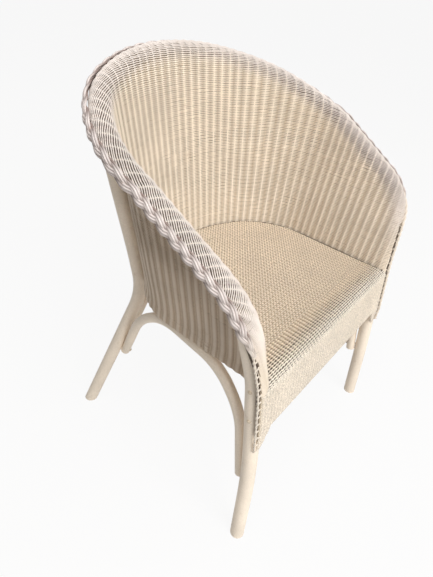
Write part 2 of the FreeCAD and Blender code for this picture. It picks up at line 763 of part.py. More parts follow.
# Seat slats, trimmed to the inside of the bow
inside_edges = tub_outline(bow_inside + GAP, bow_front)
half_inside = size("seat_half_width") - bow_inside - GAP
inside_edges.append(Part.LineSegment(V(-half_inside, bow_front, 0), V(half_inside, bow_front, 0)))
for number, y in enumerate(slat_places, start=1):
    label = "seat_slat_%d" % number
    board = doc.addObject("Part::Box", label + "_board")
    board.Length = size("seat_half_width") * 2
    board.setExpression("Width", "Sizes.slat_width")
    board.setExpression("Height", "Sizes.slat_thickness")
    corner = V(-size("seat_half_width"), y - size("slat_width") / 2, FRAME_TOP - size("slat_thickness"))
    board.Placement.Base = corner
    inside = plate(label + "_inside", inside_edges, FRAME_BOTTOM, "Sizes.seat_bow_height")
    trimmed = doc.addObject("Part::Common", label + "_trimmed")
    trimmed.Base = board
    trimmed.Tool = inside
    nodes.append(cut(label, trimmed, [slat_holes]))

# Seat panel: flat seat, rolled front, apron and a return under the rail
roll_r, hem_r = size("seat_roll_radius"), size("hem_radius")
roll_z = SEAT - roll_r
roll_y = post_y(roll_z) - ROLL_OUT + roll_r / math.cos(rail_tilt)
face_out = V(0, -math.cos(rail_tilt), math.sin(rail_tilt))
hem_centre_z = hem_z + hem_r
hem_y = post_y(hem_centre_z) - ROLL_OUT + hem_r / math.cos(rail_tilt)
return_y = hem_y + size("apron_return")


def panel_side(inset):
    """Points and arc middles of the seat panel's section, less an inset."""
    roll, hem = V(0, roll_y, roll_z), V(0, hem_y, hem_centre_z)
    over = (UP + face_out).normalize()
    under = (face_out - UP).normalize()
    r_roll, r_hem = roll_r - inset, hem_r - inset
    return [V(0, size("seat_back_y") + PANEL_OVERRUN, SEAT - inset),
            roll + UP * r_roll,
            roll + over * r_roll,
            roll + face_out * r_roll,
            hem + face_out * r_hem,
            hem + under * r_hem,
            hem - UP * r_hem,
            V(0, return_y, hem_z + inset)]


def panel_edges(points):
    """Lines and arcs through a section's points, laid in a sketch's own plane."""
    flat = [V(p.y, p.z, 0) for p in points]
    return [Part.LineSegment(flat[0], flat[1]), Part.Arc(flat[1], flat[2], flat[3]),
            Part.LineSegment(flat[3], flat[4]), Part.Arc(flat[4], flat[5], flat[6]),
            Part.LineSegment(flat[6], flat[7])]


outer_points, inner_points = panel_side(0.0), panel_side(CLOTH)
caps = [Part.LineSegment(V(a.y, a.z, 0), V(b.y, b.z, 0))
        for a, b in ((outer_points[0], inner_points[0]), (outer_points[-1], inner_points[-1]))]
section_body = doc.addObject("PartDesign::Body", "seat_panel_sheet")
section_sketch = sketch_on(section_body, "YZ_Plane", "seat_panel_section",
                           panel_edges(outer_points) + panel_edges(inner_points) + caps)
section_pad = section_body.newObject("PartDesign::Pad", "seat_panel_pad")
section_pad.Profile = section_sketch
section_pad.setExpression("Length", "2 * (Sizes.seat_half_width + Sizes.apron_overhang)")
section_pad.Midplane = True
step_y = post_y(EDGE_BOTTOM) - size("rail_notch")
front_y = hem_y - ROLL_OUT * 2
half_seat = size("seat_half_width") - CLOTH_GAP
half_apron = size("seat_half_width") + size("apron_overhang")
trim_edges = tub_outline(CLOTH_GAP, step_y)
corner_marks = [V(-half_seat, step_y, 0), V(-half_apron, step_y, 0), V(-half_apron, front_y, 0),
                V(half_apron, front_y, 0), V(half_apron, step_y, 0), V(half_seat, step_y, 0)]
trim_edges += [Part.LineSegment(a, b) for a, b in zip(corner_marks, corner_marks[1:])]
panel_trim = plate("seat_panel_trim", trim_edges, 0, "2 * Sizes.seat_height")
panel_cut = doc.addObject("Part::Common", "seat_panel_trimmed")
panel_cut.Base = section_body
panel_cut.Tool = panel_trim
nodes.append(cut("seat_panel", panel_cut, leg_rooms + [tack_holes]))


# Tub shell and braid: sheets through points of the tub's formula

def sheet_solid(near, far):
    """Closed solid between two grids of points."""
    faces, borders = [], []
    for grid in (near, far):
        surface = Part.BSplineSurface()
        surface.interpolate(grid)
        u_low, u_high, v_low, v_high = surface.bounds()
        faces.append(surface.toShape())
        borders.append([surface.uIso(u_low), surface.uIso(u_high), surface.vIso(v_low), surface.vIso(v_high)])
    for one, other in zip(*borders):
        faces.append(Part.makeRuledSurface(one.toShape(), other.toShape(), 1))
    shell = Part.makeShell(faces)
    shell.sewShape()
    solid = Part.makeSolid(shell)
    if solid.Volume < 0:
        solid.reverse()
    return solid


stations = rim_stations(rim_path(EDGE_BOTTOM), RIM_STATIONS)
frames = rim_frames(stations)
edge_run = stations[-1][0] - size("rail_notch")
roll_end = math.radians(size("roll_end_angle"))
roll_step = ROLL_OUT * roll_end / ROLL_STEPS
inside_grid, outside_grid = [], []


def wall_place(root, edge, step):
    """Place on the line from the skirt to the rim, with steps that shrink toward both ends."""
    line = edge - root
    share = step / WALL_STEPS
    rim_speed = WALL_STEPS * roll_step / line.Length
    root_speed = min(WALL_STEPS * size("skirt_drop") / 2 / line.Length, 1.0)
    blend = (3 - 2 * share) * share ** 2
    start = (share - 1) ** 2 * share * root_speed
    finish = (share - 1) * share ** 2 * rim_speed
    return root + line * (blend + start + finish)


for index, ((run, height), frame) in enumerate(zip(stations, frames)):
    root = V(edge_run * (2 * index / (len(stations) - 1) - 1), 0, SKIRT_Z)
    near, far = [], []
    for step in range(WALL_STEPS):
        place = wall_place(root, V(run, 0, height), step)
        near.append(wall(place.x, place.z))
        far.append(wall(place.x, place.z, CLOTH))
    for step in range(ROLL_STEPS + 1):
        angle = roll_end * step / ROLL_STEPS
        near.append(on_roll(frame, angle, ROLL_OUT))
        far.append(on_roll(frame, angle, ROLL_IN))
    inside_grid.append(near)
    outside_grid.append(far)
tub = feature("tub_sheet", sheet_solid(inside_grid, outside_grid))
nodes.append(cut("tub_shell", tub, [leg_holes, bow_holes]))

braid_stations = rim_stations(rim_path(size("braid_bottom")), RIM_STATIONS + 8)
first_angle, last_angle = size("braid_start_angle"), size("braid_end_angle")
upper_grid, lower_grid = [], []
for (run, height), frame in zip(braid_stations, rim_frames(braid_stations)):
    drop = min(1, max(0, (size("arm_front_z") - height) / (size("arm_front_z") - SEAT)))
    turn = size("braid_post_turn") * (3 - 2 * drop) * drop ** 2
    upper, lower = [], []
    for step in range(BRAID_STEPS + 1):
        share = step / BRAID_STEPS
        angle = math.radians(first_angle + (last_angle - first_angle) * share - turn)
        swell = size("braid_thickness") * (0.4 + 0.6 * math.sin(math.pi * share))
        upper.append(on_roll(frame, angle, ROLL_OUT + GAP + swell))
        lower.append(on_roll(frame, angle, ROLL_OUT + GAP))
    upper_grid.append(upper)
    lower_grid.append(lower)
nodes.append(feature("rim_braid", sheet_solid(upper_grid, lower_grid)))

# Fasteners
nodes.append(screws("front_leg_screws", leg_screw, leg_marks))
nodes.append(screws("back_leg_screws", bow_screw, bow_marks_all))
nodes.append(screws("arch_screws", arch_screw, arch_marks))
nodes.append(screws("apron_tacks", tack, tack_marks))
nodes.append(pins("rim_dowels", dowel, rim_marks))
nodes.append(pins("rail_dowels", dowel, rail_marks))
nodes.append(pins("slat_dowels", slat_dowel, slat_marks))

doc.recompute()
for item in doc.Objects:
    if "Invalid" in item.State or "Error" in item.State:
        raise RuntimeError("%s failed: %s" % (item.Label, item.State))
os.makedirs("parts", exist_ok=True)
for node in nodes:
    if node.Shape.isNull() or not node.Shape.isValid():
        raise RuntimeError("%s has no valid shape" % node.Label)
    node.Shape.exportStep("parts/%s.step" % node.Label)
    box = node.Shape.optimalBoundingBox(False)
    print("%-18s solids %2d  volume %10.0f  x %7.1f %7.1f  y %7.1f %7.1f  z %7.1f %7.1f" % (
        node.Label, len(node.Shape.Solids), node.Shape.Volume,
        box.XMin, box.XMax, box.YMin, box.YMax, box.ZMin, box.ZMax))
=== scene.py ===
"""Looks of the woven tub armchair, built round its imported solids.

The shapes are worked out in millimetres, as the solids were, and become metres
when their meshes are made. +Z is up and the chair faces -Y.
"""

import logging
import math
from dataclasses import dataclass, field
from enum import Enum
from typing import NamedTuple

import bpy
import numpy as np
from bpy.types import ID, Material, Mesh, Node, NodeSocket, NodeTree, Object, ShaderNodeTree
from mathutils import Matrix, Vector


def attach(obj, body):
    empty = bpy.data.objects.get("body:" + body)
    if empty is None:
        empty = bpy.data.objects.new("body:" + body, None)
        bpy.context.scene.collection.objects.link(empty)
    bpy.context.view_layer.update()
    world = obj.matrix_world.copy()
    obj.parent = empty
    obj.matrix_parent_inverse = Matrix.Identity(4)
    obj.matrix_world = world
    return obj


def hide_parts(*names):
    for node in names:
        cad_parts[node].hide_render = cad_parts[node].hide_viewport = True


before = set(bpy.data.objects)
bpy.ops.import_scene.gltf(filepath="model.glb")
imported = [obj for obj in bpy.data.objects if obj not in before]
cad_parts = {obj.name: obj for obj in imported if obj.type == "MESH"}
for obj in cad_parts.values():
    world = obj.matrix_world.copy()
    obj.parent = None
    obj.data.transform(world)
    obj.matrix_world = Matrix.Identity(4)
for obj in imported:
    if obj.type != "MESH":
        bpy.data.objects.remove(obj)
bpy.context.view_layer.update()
BODY = "root"
BAKE_MAP = "OFBake"
MM = 0.001  # metres in a millimetre
STRIP_SHARE = 0.9  # share of its strip of the bake map that a strand fills
SHEET_SHARE, SHEET_BACK = 0.47, 0.5  # height of a sheet's face on the bake map, start of its back
ARC_POINTS = 60  # points along a rounded corner
CHUNK = 2000  # points that are looked at together
WANDER_STEP = 9  # points between two turns of a wandering row
CORE_HALF = 0.2  # half the thickness of a core sheet
PAINT_DEPTH, GRAIN_DEPTH = 0.0006, 0.0005  # metres that bump may lift paint and grain
Array = np.ndarray
Random = np.random.Generator
Pair = tuple[float, float]
Shade = tuple[int, int, int]
Place = tuple[float, float, float]
log = logging.getLogger("armchair")


class Slot(Enum):
    """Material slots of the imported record."""

    PAINTED_WOOD = "painted_wood"
    PLAIN_WOOD = "plain_wood"
    WOVEN_FIBRE = "woven_fibre"
    STEEL = "steel"


class Laid(NamedTuple):
    """Cloth laid on its form.

    It holds places, directions to the hidden face, lengths past the edge (or past
    the flat seat) and the edge's height there.
    """

    points: Array
    ways: Array
    past: Array
    edge_height: Array


def smooth(ends: Pair, value: Array) -> Array:
    """Soft step from 0 to 1.

    Args:
        ends: Values at which the step starts and ends.
        value: Values to look at.

    Returns:
        Shares from 0 to 1.
    """
    share = np.clip((value - ends[0]) / (ends[1] - ends[0]), 0.0, 1.0)
    return share * share * (3.0 - 2.0 * share)


def between(first: Array | float, second: Array | float, share: Array) -> Array:
    """Value at a share of the way from the first to the second."""
    return first + (second - first) * share


def unit(vectors: Array) -> Array:
    """Vectors of length 1."""
    return vectors / np.linalg.norm(vectors, axis=-1, keepdims=True)


def rgb(shade: Shade) -> tuple[float, ...]:
    """Linear colour of an 8-bit screen colour.

    Args:
        shade: Red, green and blue, 0 to 255.

    Returns:
        Red, green, blue and full cover, 0 to 1.
    """
    shares = np.array(shade) / 255.0
    linear = np.where(shares <= 0.04045, shares / 12.92, ((shares + 0.055) / 1.055) ** 2.4)
    return *linear.tolist(), 1.0


def rounded(corners: list[Array], tangents: list[float], step: float) -> Array:
    """Line through corners that are rounded by arcs.

    Args:
        corners: Ends and corners of the line, in a plane.
        tangents: Length from each inner corner to where its arc starts.
        step: Distance between the points.

    Returns:
        Evenly spaced points of the line.
    """
    marks = [corners[0]]
    for before, corner, after, tangent in zip(corners, corners[1:], corners[2:], tangents):
        back, ahead = unit(before - corner), unit(after - corner)
        half = math.acos(float(np.clip(back @ ahead, -1, 1))) / 2
        radius = tangent * math.tan(half)
        centre = corner + unit(back + ahead) * (radius / math.sin(half))
        first, last = corner + back * tangent - centre, corner + ahead * tangent - centre
        sweep = math.acos(float(np.clip(first @ last / radius ** 2, -1, 1)))
        for share in np.linspace(0, 1, ARC_POINTS):
            weights = math.sin((1 - share) * sweep), math.sin(share * sweep)
            marks.append(centre + (first * weights[0] + last * weights[1]) / math.sin(sweep))
    marks.append(corners[-1])
    line = np.array(marks)
    lengths = np.concatenate([[0], np.cumsum(np.linalg.norm(np.diff(line, axis=0), axis=1))])
    places = np.linspace(0, lengths[-1], int(lengths[-1] / step) + 1)
    return np.stack([np.interp(places, lengths, line[:, axis]) for axis in (0, 1)], axis=1)


def strip(along: Array, number: float, count: int) -> Array:
    """Strip of the bake map that one strand takes.

    Args:
        along: Shares of the map's width at the strand's points.
        number: Number of the strip.
        count: How many strips the map holds.

    Returns:
        Place on the map and height of the strip at each point.
    """
    size = len(along)
    return np.stack([along, np.full(size, number / count), np.full(size, STRIP_SHARE / count)], axis=1)


def wander(size: int, random: Random) -> Array:
    """Slow wandering of one row of the weave.

    Args:
        size: Number of points.
        random: Source of unevenness.

    Returns:
        Distances with a spread of about 1.
    """
    knots = random.normal(0.0, 1.0, size // WANDER_STEP + 2)
    return np.interp(np.arange(size) / WANDER_STEP, np.arange(len(knots)), knots)


class NodeBench:
    """Places and joins the nodes of one tree. A value may be a number or a socket to join."""

    def __init__(self, tree: NodeTree) -> None:
        """Take the tree to work on."""
        self.tree = tree

    def add(self, kind: str, inputs: dict | None = None, **settings: object) -> Node:
        """Place one node.

        Args:
            kind: Blender's name of the node's type.
            inputs: Values by input name or number.
            settings: Properties of the node.

        Returns:
            The node.
        """
        node = self.tree.nodes.new(kind)
        for name, value in settings.items():
            setattr(node, name, value)
        self.feed(node, inputs or {})
        return node

    def out(self, kind: str, inputs: dict | None = None, **settings: object) -> NodeSocket:
        """First result of a new node; see add for what is given."""
        return self.add(kind, inputs, **settings).outputs[0]

    def feed(self, node: Node, inputs: dict) -> None:
        """Set or join a node's inputs.

        Args:
            node: Node of the tree.
            inputs: Values by input name or number.
        """
        for key, value in inputs.items():
            if isinstance(value, NodeSocket):
                self.tree.links.new(value, node.inputs[key])
            else:
                node.inputs[key].default_value = value

    def math(self, operation: str, first: object, second: object = 0.0, third: object = 0.0,
             **settings: object) -> NodeSocket:
        """Result of a sum in a shader or geometry tree.

        Args:
            operation: Blender's name of the sum.
            first: First value.
            second: Second value.
            third: Third value, where the sum has one.
            settings: Properties of the node.

        Returns:
            Socket of the result.
        """
        values = {0: first, 1: second, 2: third}
        return self.out("ShaderNodeMath", values, operation=operation, **settings)

    def mix(self, share: object, first: object, second: object) -> NodeSocket:
        """Colour at a share of the way from the first to the second."""
        return self.add("ShaderNodeMix", {0: share, 6: first, 7: second}, data_type="RGBA").outputs[2]

    def noise(self, scale: object, detail: float, roughness: float = 0.5,
              place: NodeSocket | None = None) -> NodeSocket:
        """Noise in a shader tree.

        Args:
            scale: Fineness.
            detail: Number of finer layers.
            roughness: Weight of the finer layers.
            place: Where it is looked up; the piece's own place if not given.

        Returns:
            Socket of the result.
        """
        if place is None:
            place = self.add("ShaderNodeTexCoord").outputs["Object"]
        return self.out("ShaderNodeTexNoise", {"Vector": place, "Scale": scale, "Detail": detail,
                                               "Roughness": roughness})

    def remap(self, value: object, ends: Pair, results: Pair = (0.0, 1.0)) -> NodeSocket:
        """Value moved from one range to another.

        Args:
            value: Value to move.
            ends: Range that it is in.
            results: Range that it gets.

        Returns:
            Socket of the result.
        """
        return self.out("ShaderNodeMapRange", {"Value": value, "From Min": ends[0], "From Max": ends[1],
                                               "To Min": results[0], "To Max": results[1]})

    def bump(self, strength: float, depth: float, height: NodeSocket) -> NodeSocket:
        """Normal of a surface that a height lifts by a depth in metres."""
        return self.out("ShaderNodeBump", {"Strength": strength, "Distance": depth, "Height": height})

    def attribute(self, name: str) -> NodeSocket:
        """Number that the piece carries under a name, in a shader tree."""
        return self.add("ShaderNodeAttribute", attribute_name=name).outputs["Fac"]

    def socket(self, name: str, kind: str, way: str = "INPUT") -> None:
        """Give the tree a named input or output."""
        self.tree.interface.new_socket(name, in_out=way, socket_type=kind)


@dataclass
class TubShape:
    """Form of the woven tub: plan, lean, edge and the roll over its edge.

    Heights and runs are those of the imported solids. A run is the length round
    the seat from the middle of the back.
    """

    seat_height: float = 409.0
    seat_half_width: float = 218.0
    seat_back_y: float = 165.7
    back_radius: float = 300.0
    back_angle: float = 25.0
    lean_front: float = 0.23
    lean_back: float = 0.145
    waist_ease: float = 30.0
    rim_height: float = 769.0
    rim_flat: float = 126.0
    rim_flat_share: float = 0.98
    arm_front_y: float = -188.2
    arm_front_z: float = 562.0
    arm_front_radius: float = 118.0
    post_slope: float = 0.1237
    roll_radius: float = 19.2
    cloth: float = 5.0
    edge_bottom: float = 262.0
    edge_step: float = 1.0
    deep: float = 45.0

    def __post_init__(self) -> None:
        """Work out the plan's arcs and the edge of the cloth."""
        self.half_back = math.radians(self.back_angle)
        sine = math.sin(self.half_back)
        self.corner_radius = (self.seat_half_width - self.back_radius * sine) / (1 - sine)
        spare = self.back_radius - self.corner_radius
        self.corner_x = spare * sine
        self.corner_y = self.seat_back_y - self.back_radius + spare * math.cos(self.half_back)
        self.back_run = self.back_radius * self.half_back
        self.corner_run = self.back_run + self.corner_radius * (math.pi / 2 - self.half_back)
        self.arm_run = self.run_at_y(self.arm_front_y)
        self.edge = self._edge()
        self.edge_way = unit(np.gradient(self.edge, axis=0))
        self.edge_centre, self.edge_inward, self.edge_upward = self._roll_frames()
        steps = np.linalg.norm(np.diff(self.edge, axis=0), axis=1)
        self.edge_length = np.concatenate([[0.0], np.cumsum(steps)])

    def run_at_y(self, y: float) -> float:
        """Run to a point of the straight side."""
        return self.corner_run + self.corner_y - y

    def post_y(self, height: Array) -> Array:
        """Front edge of the cloth on the front posts."""
        return self.arm_front_y - self.post_slope * (self.arm_front_z - height)

    def half_width(self, y: Array, inset: float) -> Array:
        """Half width of the seat.

        Args:
            y: Places from front to back.
            inset: Distance that is taken off all round.

        Returns:
            Half widths.
        """
        joint_y = self.seat_back_y - self.back_radius * (1 - math.cos(self.half_back))
        side = np.maximum((self.corner_radius - inset) ** 2 - np.maximum(y - self.corner_y, 0) ** 2, 0)
        rear_y = y - self.seat_back_y + self.back_radius
        rear = np.maximum((self.back_radius - inset) ** 2 - rear_y ** 2, 0)
        return np.where(y < joint_y, self.corner_x + np.sqrt(side), np.sqrt(rear))

    def plan(self, run: Array) -> tuple[Array, Array]:
        """Point and outward normal of the tub at the seat.

        Args:
            run: Lengths round the seat.

        Returns:
            Points and normals, both flat.
        """
        along, side = np.abs(run), np.where(run >= 0, 1.0, -1.0)
        rear = along < self.back_run
        bend = self.half_back + (along - self.back_run) / self.corner_radius
        turn = np.where(rear, along / self.back_radius, np.minimum(bend, math.pi / 2))
        radius = np.where(rear, self.back_radius, self.corner_radius)
        x = np.where(rear, 0.0, self.corner_x) + radius * np.sin(turn)
        y = np.where(rear, self.seat_back_y - self.back_radius, self.corner_y) + radius * np.cos(turn)
        y = y - np.maximum(0.0, along - self.corner_run)
        flat = np.zeros_like(x)
        return (np.stack([side * x, y, flat], axis=-1),
                np.stack([side * np.sin(turn), np.cos(turn), flat], axis=-1))

    def wall(self, run: Array, height: Array, depth: Array | float) -> tuple[Array, Array]:
        """Point of the leaning wall and its outward normal.

        Args:
            run: Lengths round the seat.
            height: Heights over the floor.
            depth: Distance outward from the wall's inner face.

        Returns:
            Points and normals.
        """
        point, outward = self.plan(run)
        share = np.minimum(1.0, np.abs(run) / self.arm_run)
        lean = between(self.lean_back, self.lean_front, share ** 2)
        above = height - self.seat_height
        ease = self.waist_ease
        soft = np.clip(above + ease, 0.0, 2 * ease)
        lift = soft ** 2 / (4 * ease) + np.maximum(0.0, above - ease)
        up = np.array([0.0, 0.0, 1.0])
        normal = unit(outward - up * (lean * soft / (2 * ease))[..., None])
        place = point + outward * (lean * lift)[..., None] + up * np.asarray(height)[..., None]
        return place + normal * np.asarray(depth)[..., None], normal

    def _edge(self) -> Array:
        """Edge of the cloth, from the left post over the back to the right.

        Returns:
            Run and height of each point.
        """
        foot = np.array([self.run_at_y(self.post_y(self.edge_bottom)), self.edge_bottom])
        arm = np.array([self.arm_run, self.arm_front_z])
        turn = np.array([self.rim_flat, self.rim_height])
        half = math.acos(float(unit(turn - arm) @ unit(foot - arm))) / 2
        tangents = [self.rim_flat * self.rim_flat_share, self.arm_front_radius / math.tan(half)]
        right = rounded([np.array([0.0, self.rim_height]), turn, arm, foot], tangents, self.edge_step)
        return np.vstack([right[:0:-1] * (-1, 1), right])

    def _roll_frames(self) -> tuple[Array, Array, Array]:
        """Place and directions of the roll along the edge.

        Returns:
            Its centre, its inward and its upward directions.
        """
        run, height = self.edge.T
        centre, normal = self.wall(run, height, self.roll_radius)
        way = np.gradient(centre, axis=0)
        return centre, -normal, unit(np.cross(-normal, way))

    def past_edge(self, run: Array, height: Array) -> tuple[Array, Array]:
        """Distance past the edge of the cloth, laid flat.

        Args:
            run: Lengths round the seat.
            height: Heights over the floor.

        Returns:
            Distances, below zero inside the edge, and the place along the edge.
        """
        points = np.stack([run, height], axis=-1)
        away = np.full(len(points), -self.deep)
        place = np.zeros(len(points))
        half = self.edge[len(self.edge) // 2:][::-1]
        edge_run = np.interp(height + self.deep, half[:, 1], half[:, 0], right=-1.0)
        near_edge = np.nonzero(np.abs(run) + self.deep >= edge_run)[0]
        for first in range(0, len(near_edge), CHUNK):
            part = near_edge[first:first + CHUNK]
            gaps = ((points[part][:, None, :] - self.edge[None, :, :]) ** 2).sum(axis=2)
            near = gaps.argmin(axis=1)
            offset, way = points[part] - self.edge[near], self.edge_way[near]
            away[part] = way[:, 0] * offset[:, 1] - way[:, 1] * offset[:, 0]
            place[part] = self.edge_length[near] + (offset * way).sum(axis=1)
        return away, place

    def on_roll(self, place: Array, angle: Array, radius: Array) -> tuple[Array, Array]:
        """Point on the roll over the edge and its outward normal.

        Args:
            place: Lengths along the edge.
            angle: Angles from the roll's inner side.
            radius: Distances from the roll's centre.

        Returns:
            Points and normals.
        """
        def along(values: Array) -> Array:
            """Values of the edge at the places."""
            columns = [np.interp(place, self.edge_length, values[:, axis]) for axis in range(3)]
            return np.stack(columns, axis=-1)

        way = (along(self.edge_inward) * np.cos(angle)[..., None]
               + along(self.edge_upward) * np.sin(angle)[..., None])
        return along(self.edge_centre) + way * np.asarray(radius)[..., None], way

    def cloth_at(self, run: Array, height: Array, depth: Array | float) -> Laid:
        """Cloth on the wall, or on the roll past its edge.

        Args:
            run: Lengths round the seat.
            height: Heights over the floor.
            depth: Distance from the face that shows inside the tub.

        Returns:
            The laid cloth.
        """
        depth = np.broadcast_to(np.asarray(depth, dtype=float), run.shape)
        points, normals = self.wall(run, height, depth)
        away, place = self.past_edge(run, height)
        over = away > 0
        rolled, way = self.on_roll(place[over], away[over] / self.roll_radius,
                                   self.roll_radius - depth[over])
        points[over], normals[over] = rolled, -way
        edge_height = np.interp(place, self.edge_length, self.edge[:, 1])
        return Laid(points, normals, away, edge_height)


@dataclass
class SeatShape:
    """Form of the seat panel: flat seat, front roll and leaning apron."""

    tub: TubShape
    roll_radius: float = 20.0
    bottom: float = 306.0
    inset: float = 1.4
    wrap_angle: float = 33.0
    wrap_share: float = 0.94
    right_angle: float = -24.0
    post_clear: float = 10.0

    def __post_init__(self) -> None:
        """Work out the section from the back of the seat to the apron's hem."""
        tub = self.tub
        self.tilt = math.atan(tub.post_slope)
        self.roll_z = tub.seat_height - self.roll_radius
        face_y = float(tub.post_y(self.roll_z)) - tub.roll_radius
        self.roll_y = face_y + self.roll_radius / math.cos(self.tilt)
        self.flat_run = tub.seat_back_y - self.roll_y
        self.roll_run = self.roll_radius * (math.pi / 2 - self.tilt)
        self.face_top = self.roll_z + self.roll_radius * math.sin(self.tilt)
        self.length = self.flat_run + self.roll_run + (self.face_top - self.bottom) / math.cos(self.tilt)
        self.corner = tub.seat_half_width + tub.roll_radius
        self.wrap = tub.roll_radius * math.radians(self.wrap_angle)
        self.right_edge = self.corner + tub.roll_radius * math.radians(self.right_angle)

    def half(self, run: float) -> float:
        """Half width of the panel.

        Args:
            run: Length from the back of the seat.

        Returns:
            Half width, measured on the cloth.
        """
        if run > self.flat_run + self.roll_run * self.wrap_share:
            return self.corner + self.wrap
        if run > self.flat_run + self.post_clear:
            return self.corner
        y = max(self.tub.seat_back_y - run, self.roll_y)
        return float(self.tub.half_width(np.array(y), self.inset))

    def start(self, across: float) -> float:
        """Where a line along the panel starts.

        Args:
            across: Distance of the line from the middle.

        Returns:
            Length from the back of the seat.
        """
        runs = np.arange(0.0, self.length, 1.0)
        return next(run for run in runs if self.half(run) >= abs(across))

    def cloth_at(self, across: Array, run: Array, depth: Array | float) -> Laid:
        """Cloth of the panel.

        Args:
            across: Distances from the middle, measured on the cloth.
            run: Lengths from the back of the seat.
            depth: Distances from the shown face.

        Returns:
            The laid cloth, past the start of the front roll.
        """
        depth = np.broadcast_to(np.asarray(depth, dtype=float), across.shape)
        turn = np.clip((run - self.flat_run) / self.roll_radius, 0.0, math.pi / 2 - self.tilt)
        down = np.maximum(0.0, run - self.flat_run - self.roll_run)
        flat = np.maximum(0.0, self.flat_run - run)
        normal = np.stack([np.zeros_like(turn), -np.sin(turn), np.cos(turn)], axis=-1)
        middle = np.stack([np.zeros_like(turn),
                           self.roll_y + flat - down * math.sin(self.tilt),
                           self.roll_z - down * math.cos(self.tilt)], axis=-1)
        points = middle + normal * (self.roll_radius - depth)[..., None]
        beyond = np.maximum(0.0, np.abs(across) - self.corner)
        bend = beyond / self.tub.roll_radius
        side = np.sign(across)
        points[..., 0] = side * np.minimum(np.abs(across), self.corner)
        reach = self.tub.roll_radius - depth
        points[..., 0] += side * reach * np.sin(bend)
        points[..., 1] += reach * (1 - np.cos(bend))
        normal[..., 0] += side * np.sin(bend)
        return Laid(points, -unit(normal), run - self.flat_run, np.zeros_like(turn))


def placed(name: str, data: ID) -> Object:
    """New object in the scene.

    Args:
        name: Name of the object.
        data: Its mesh, lamp or camera.

    Returns:
        The object.
    """
    thing = bpy.data.objects.new(name, data)
    bpy.context.scene.collection.objects.link(thing)
    return thing


@dataclass
class StrandGuides:
    """Centre lines of strands with what the loom has to know at each point."""

    points: list[Array] = field(default_factory=list)
    edges: list[Array] = field(default_factory=list)
    values: dict[str, list[Array]] = field(default_factory=dict)
    count: int = 0

    def add(self, points: Array, kept: Array | None = None, **values: Array | float) -> None:
        """Add one line.

        Args:
            points: Points of the line, in millimetres.
            kept: Which of them are kept; all if not given.
            values: Numbers or vectors at each point, or one number for all, by attribute name.
        """
        kept = np.ones(len(points), dtype=bool) if kept is None else kept
        size = int(kept.sum())
        first = np.arange(size - 1) + self.count
        self.points.append(points[kept] * MM)
        self.edges.append(np.stack([first, first + 1], axis=1))
        for name, value in values.items():
            each = np.full(len(points), float(value)) if np.ndim(value) == 0 else value
            self.values.setdefault(name, []).append(each[kept])
        self.count += size

    def add_still(self, points: Array, kept: Array | None = None, **values: Array | float) -> None:
        """Add one line of a strand that doesn't swing; see add for what is given."""
        self.add(points, kept, phase=0.0, sway=0.0, **values)

    def mesh(self, name: str) -> Mesh:
        """Mesh of loose edges that carries the values as attributes.

        Args:
            name: Name of the mesh.

        Returns:
            The mesh.
        """
        mesh = bpy.data.meshes.new(name)
        mesh.from_pydata(np.vstack(self.points).tolist(), np.vstack(self.edges).tolist(), [])
        for key, parts in self.values.items():
            value = np.concatenate(parts)
            kind, part = ("FLOAT_VECTOR", "vector") if value.ndim == 2 else ("FLOAT", "value")
            mesh.attributes.new(key, kind, "POINT").data.foreach_set(part, value.ravel())
        return mesh


def settle(piece: Object) -> Object:
    """Let a finished piece of the weave ride on the chair.

    Args:
        piece: Piece with a plain mesh.

    Returns:
        The same piece.
    """
    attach(piece, BODY)
    log.info("%s: %d faces", piece.name, len(piece.data.polygons))
    return piece


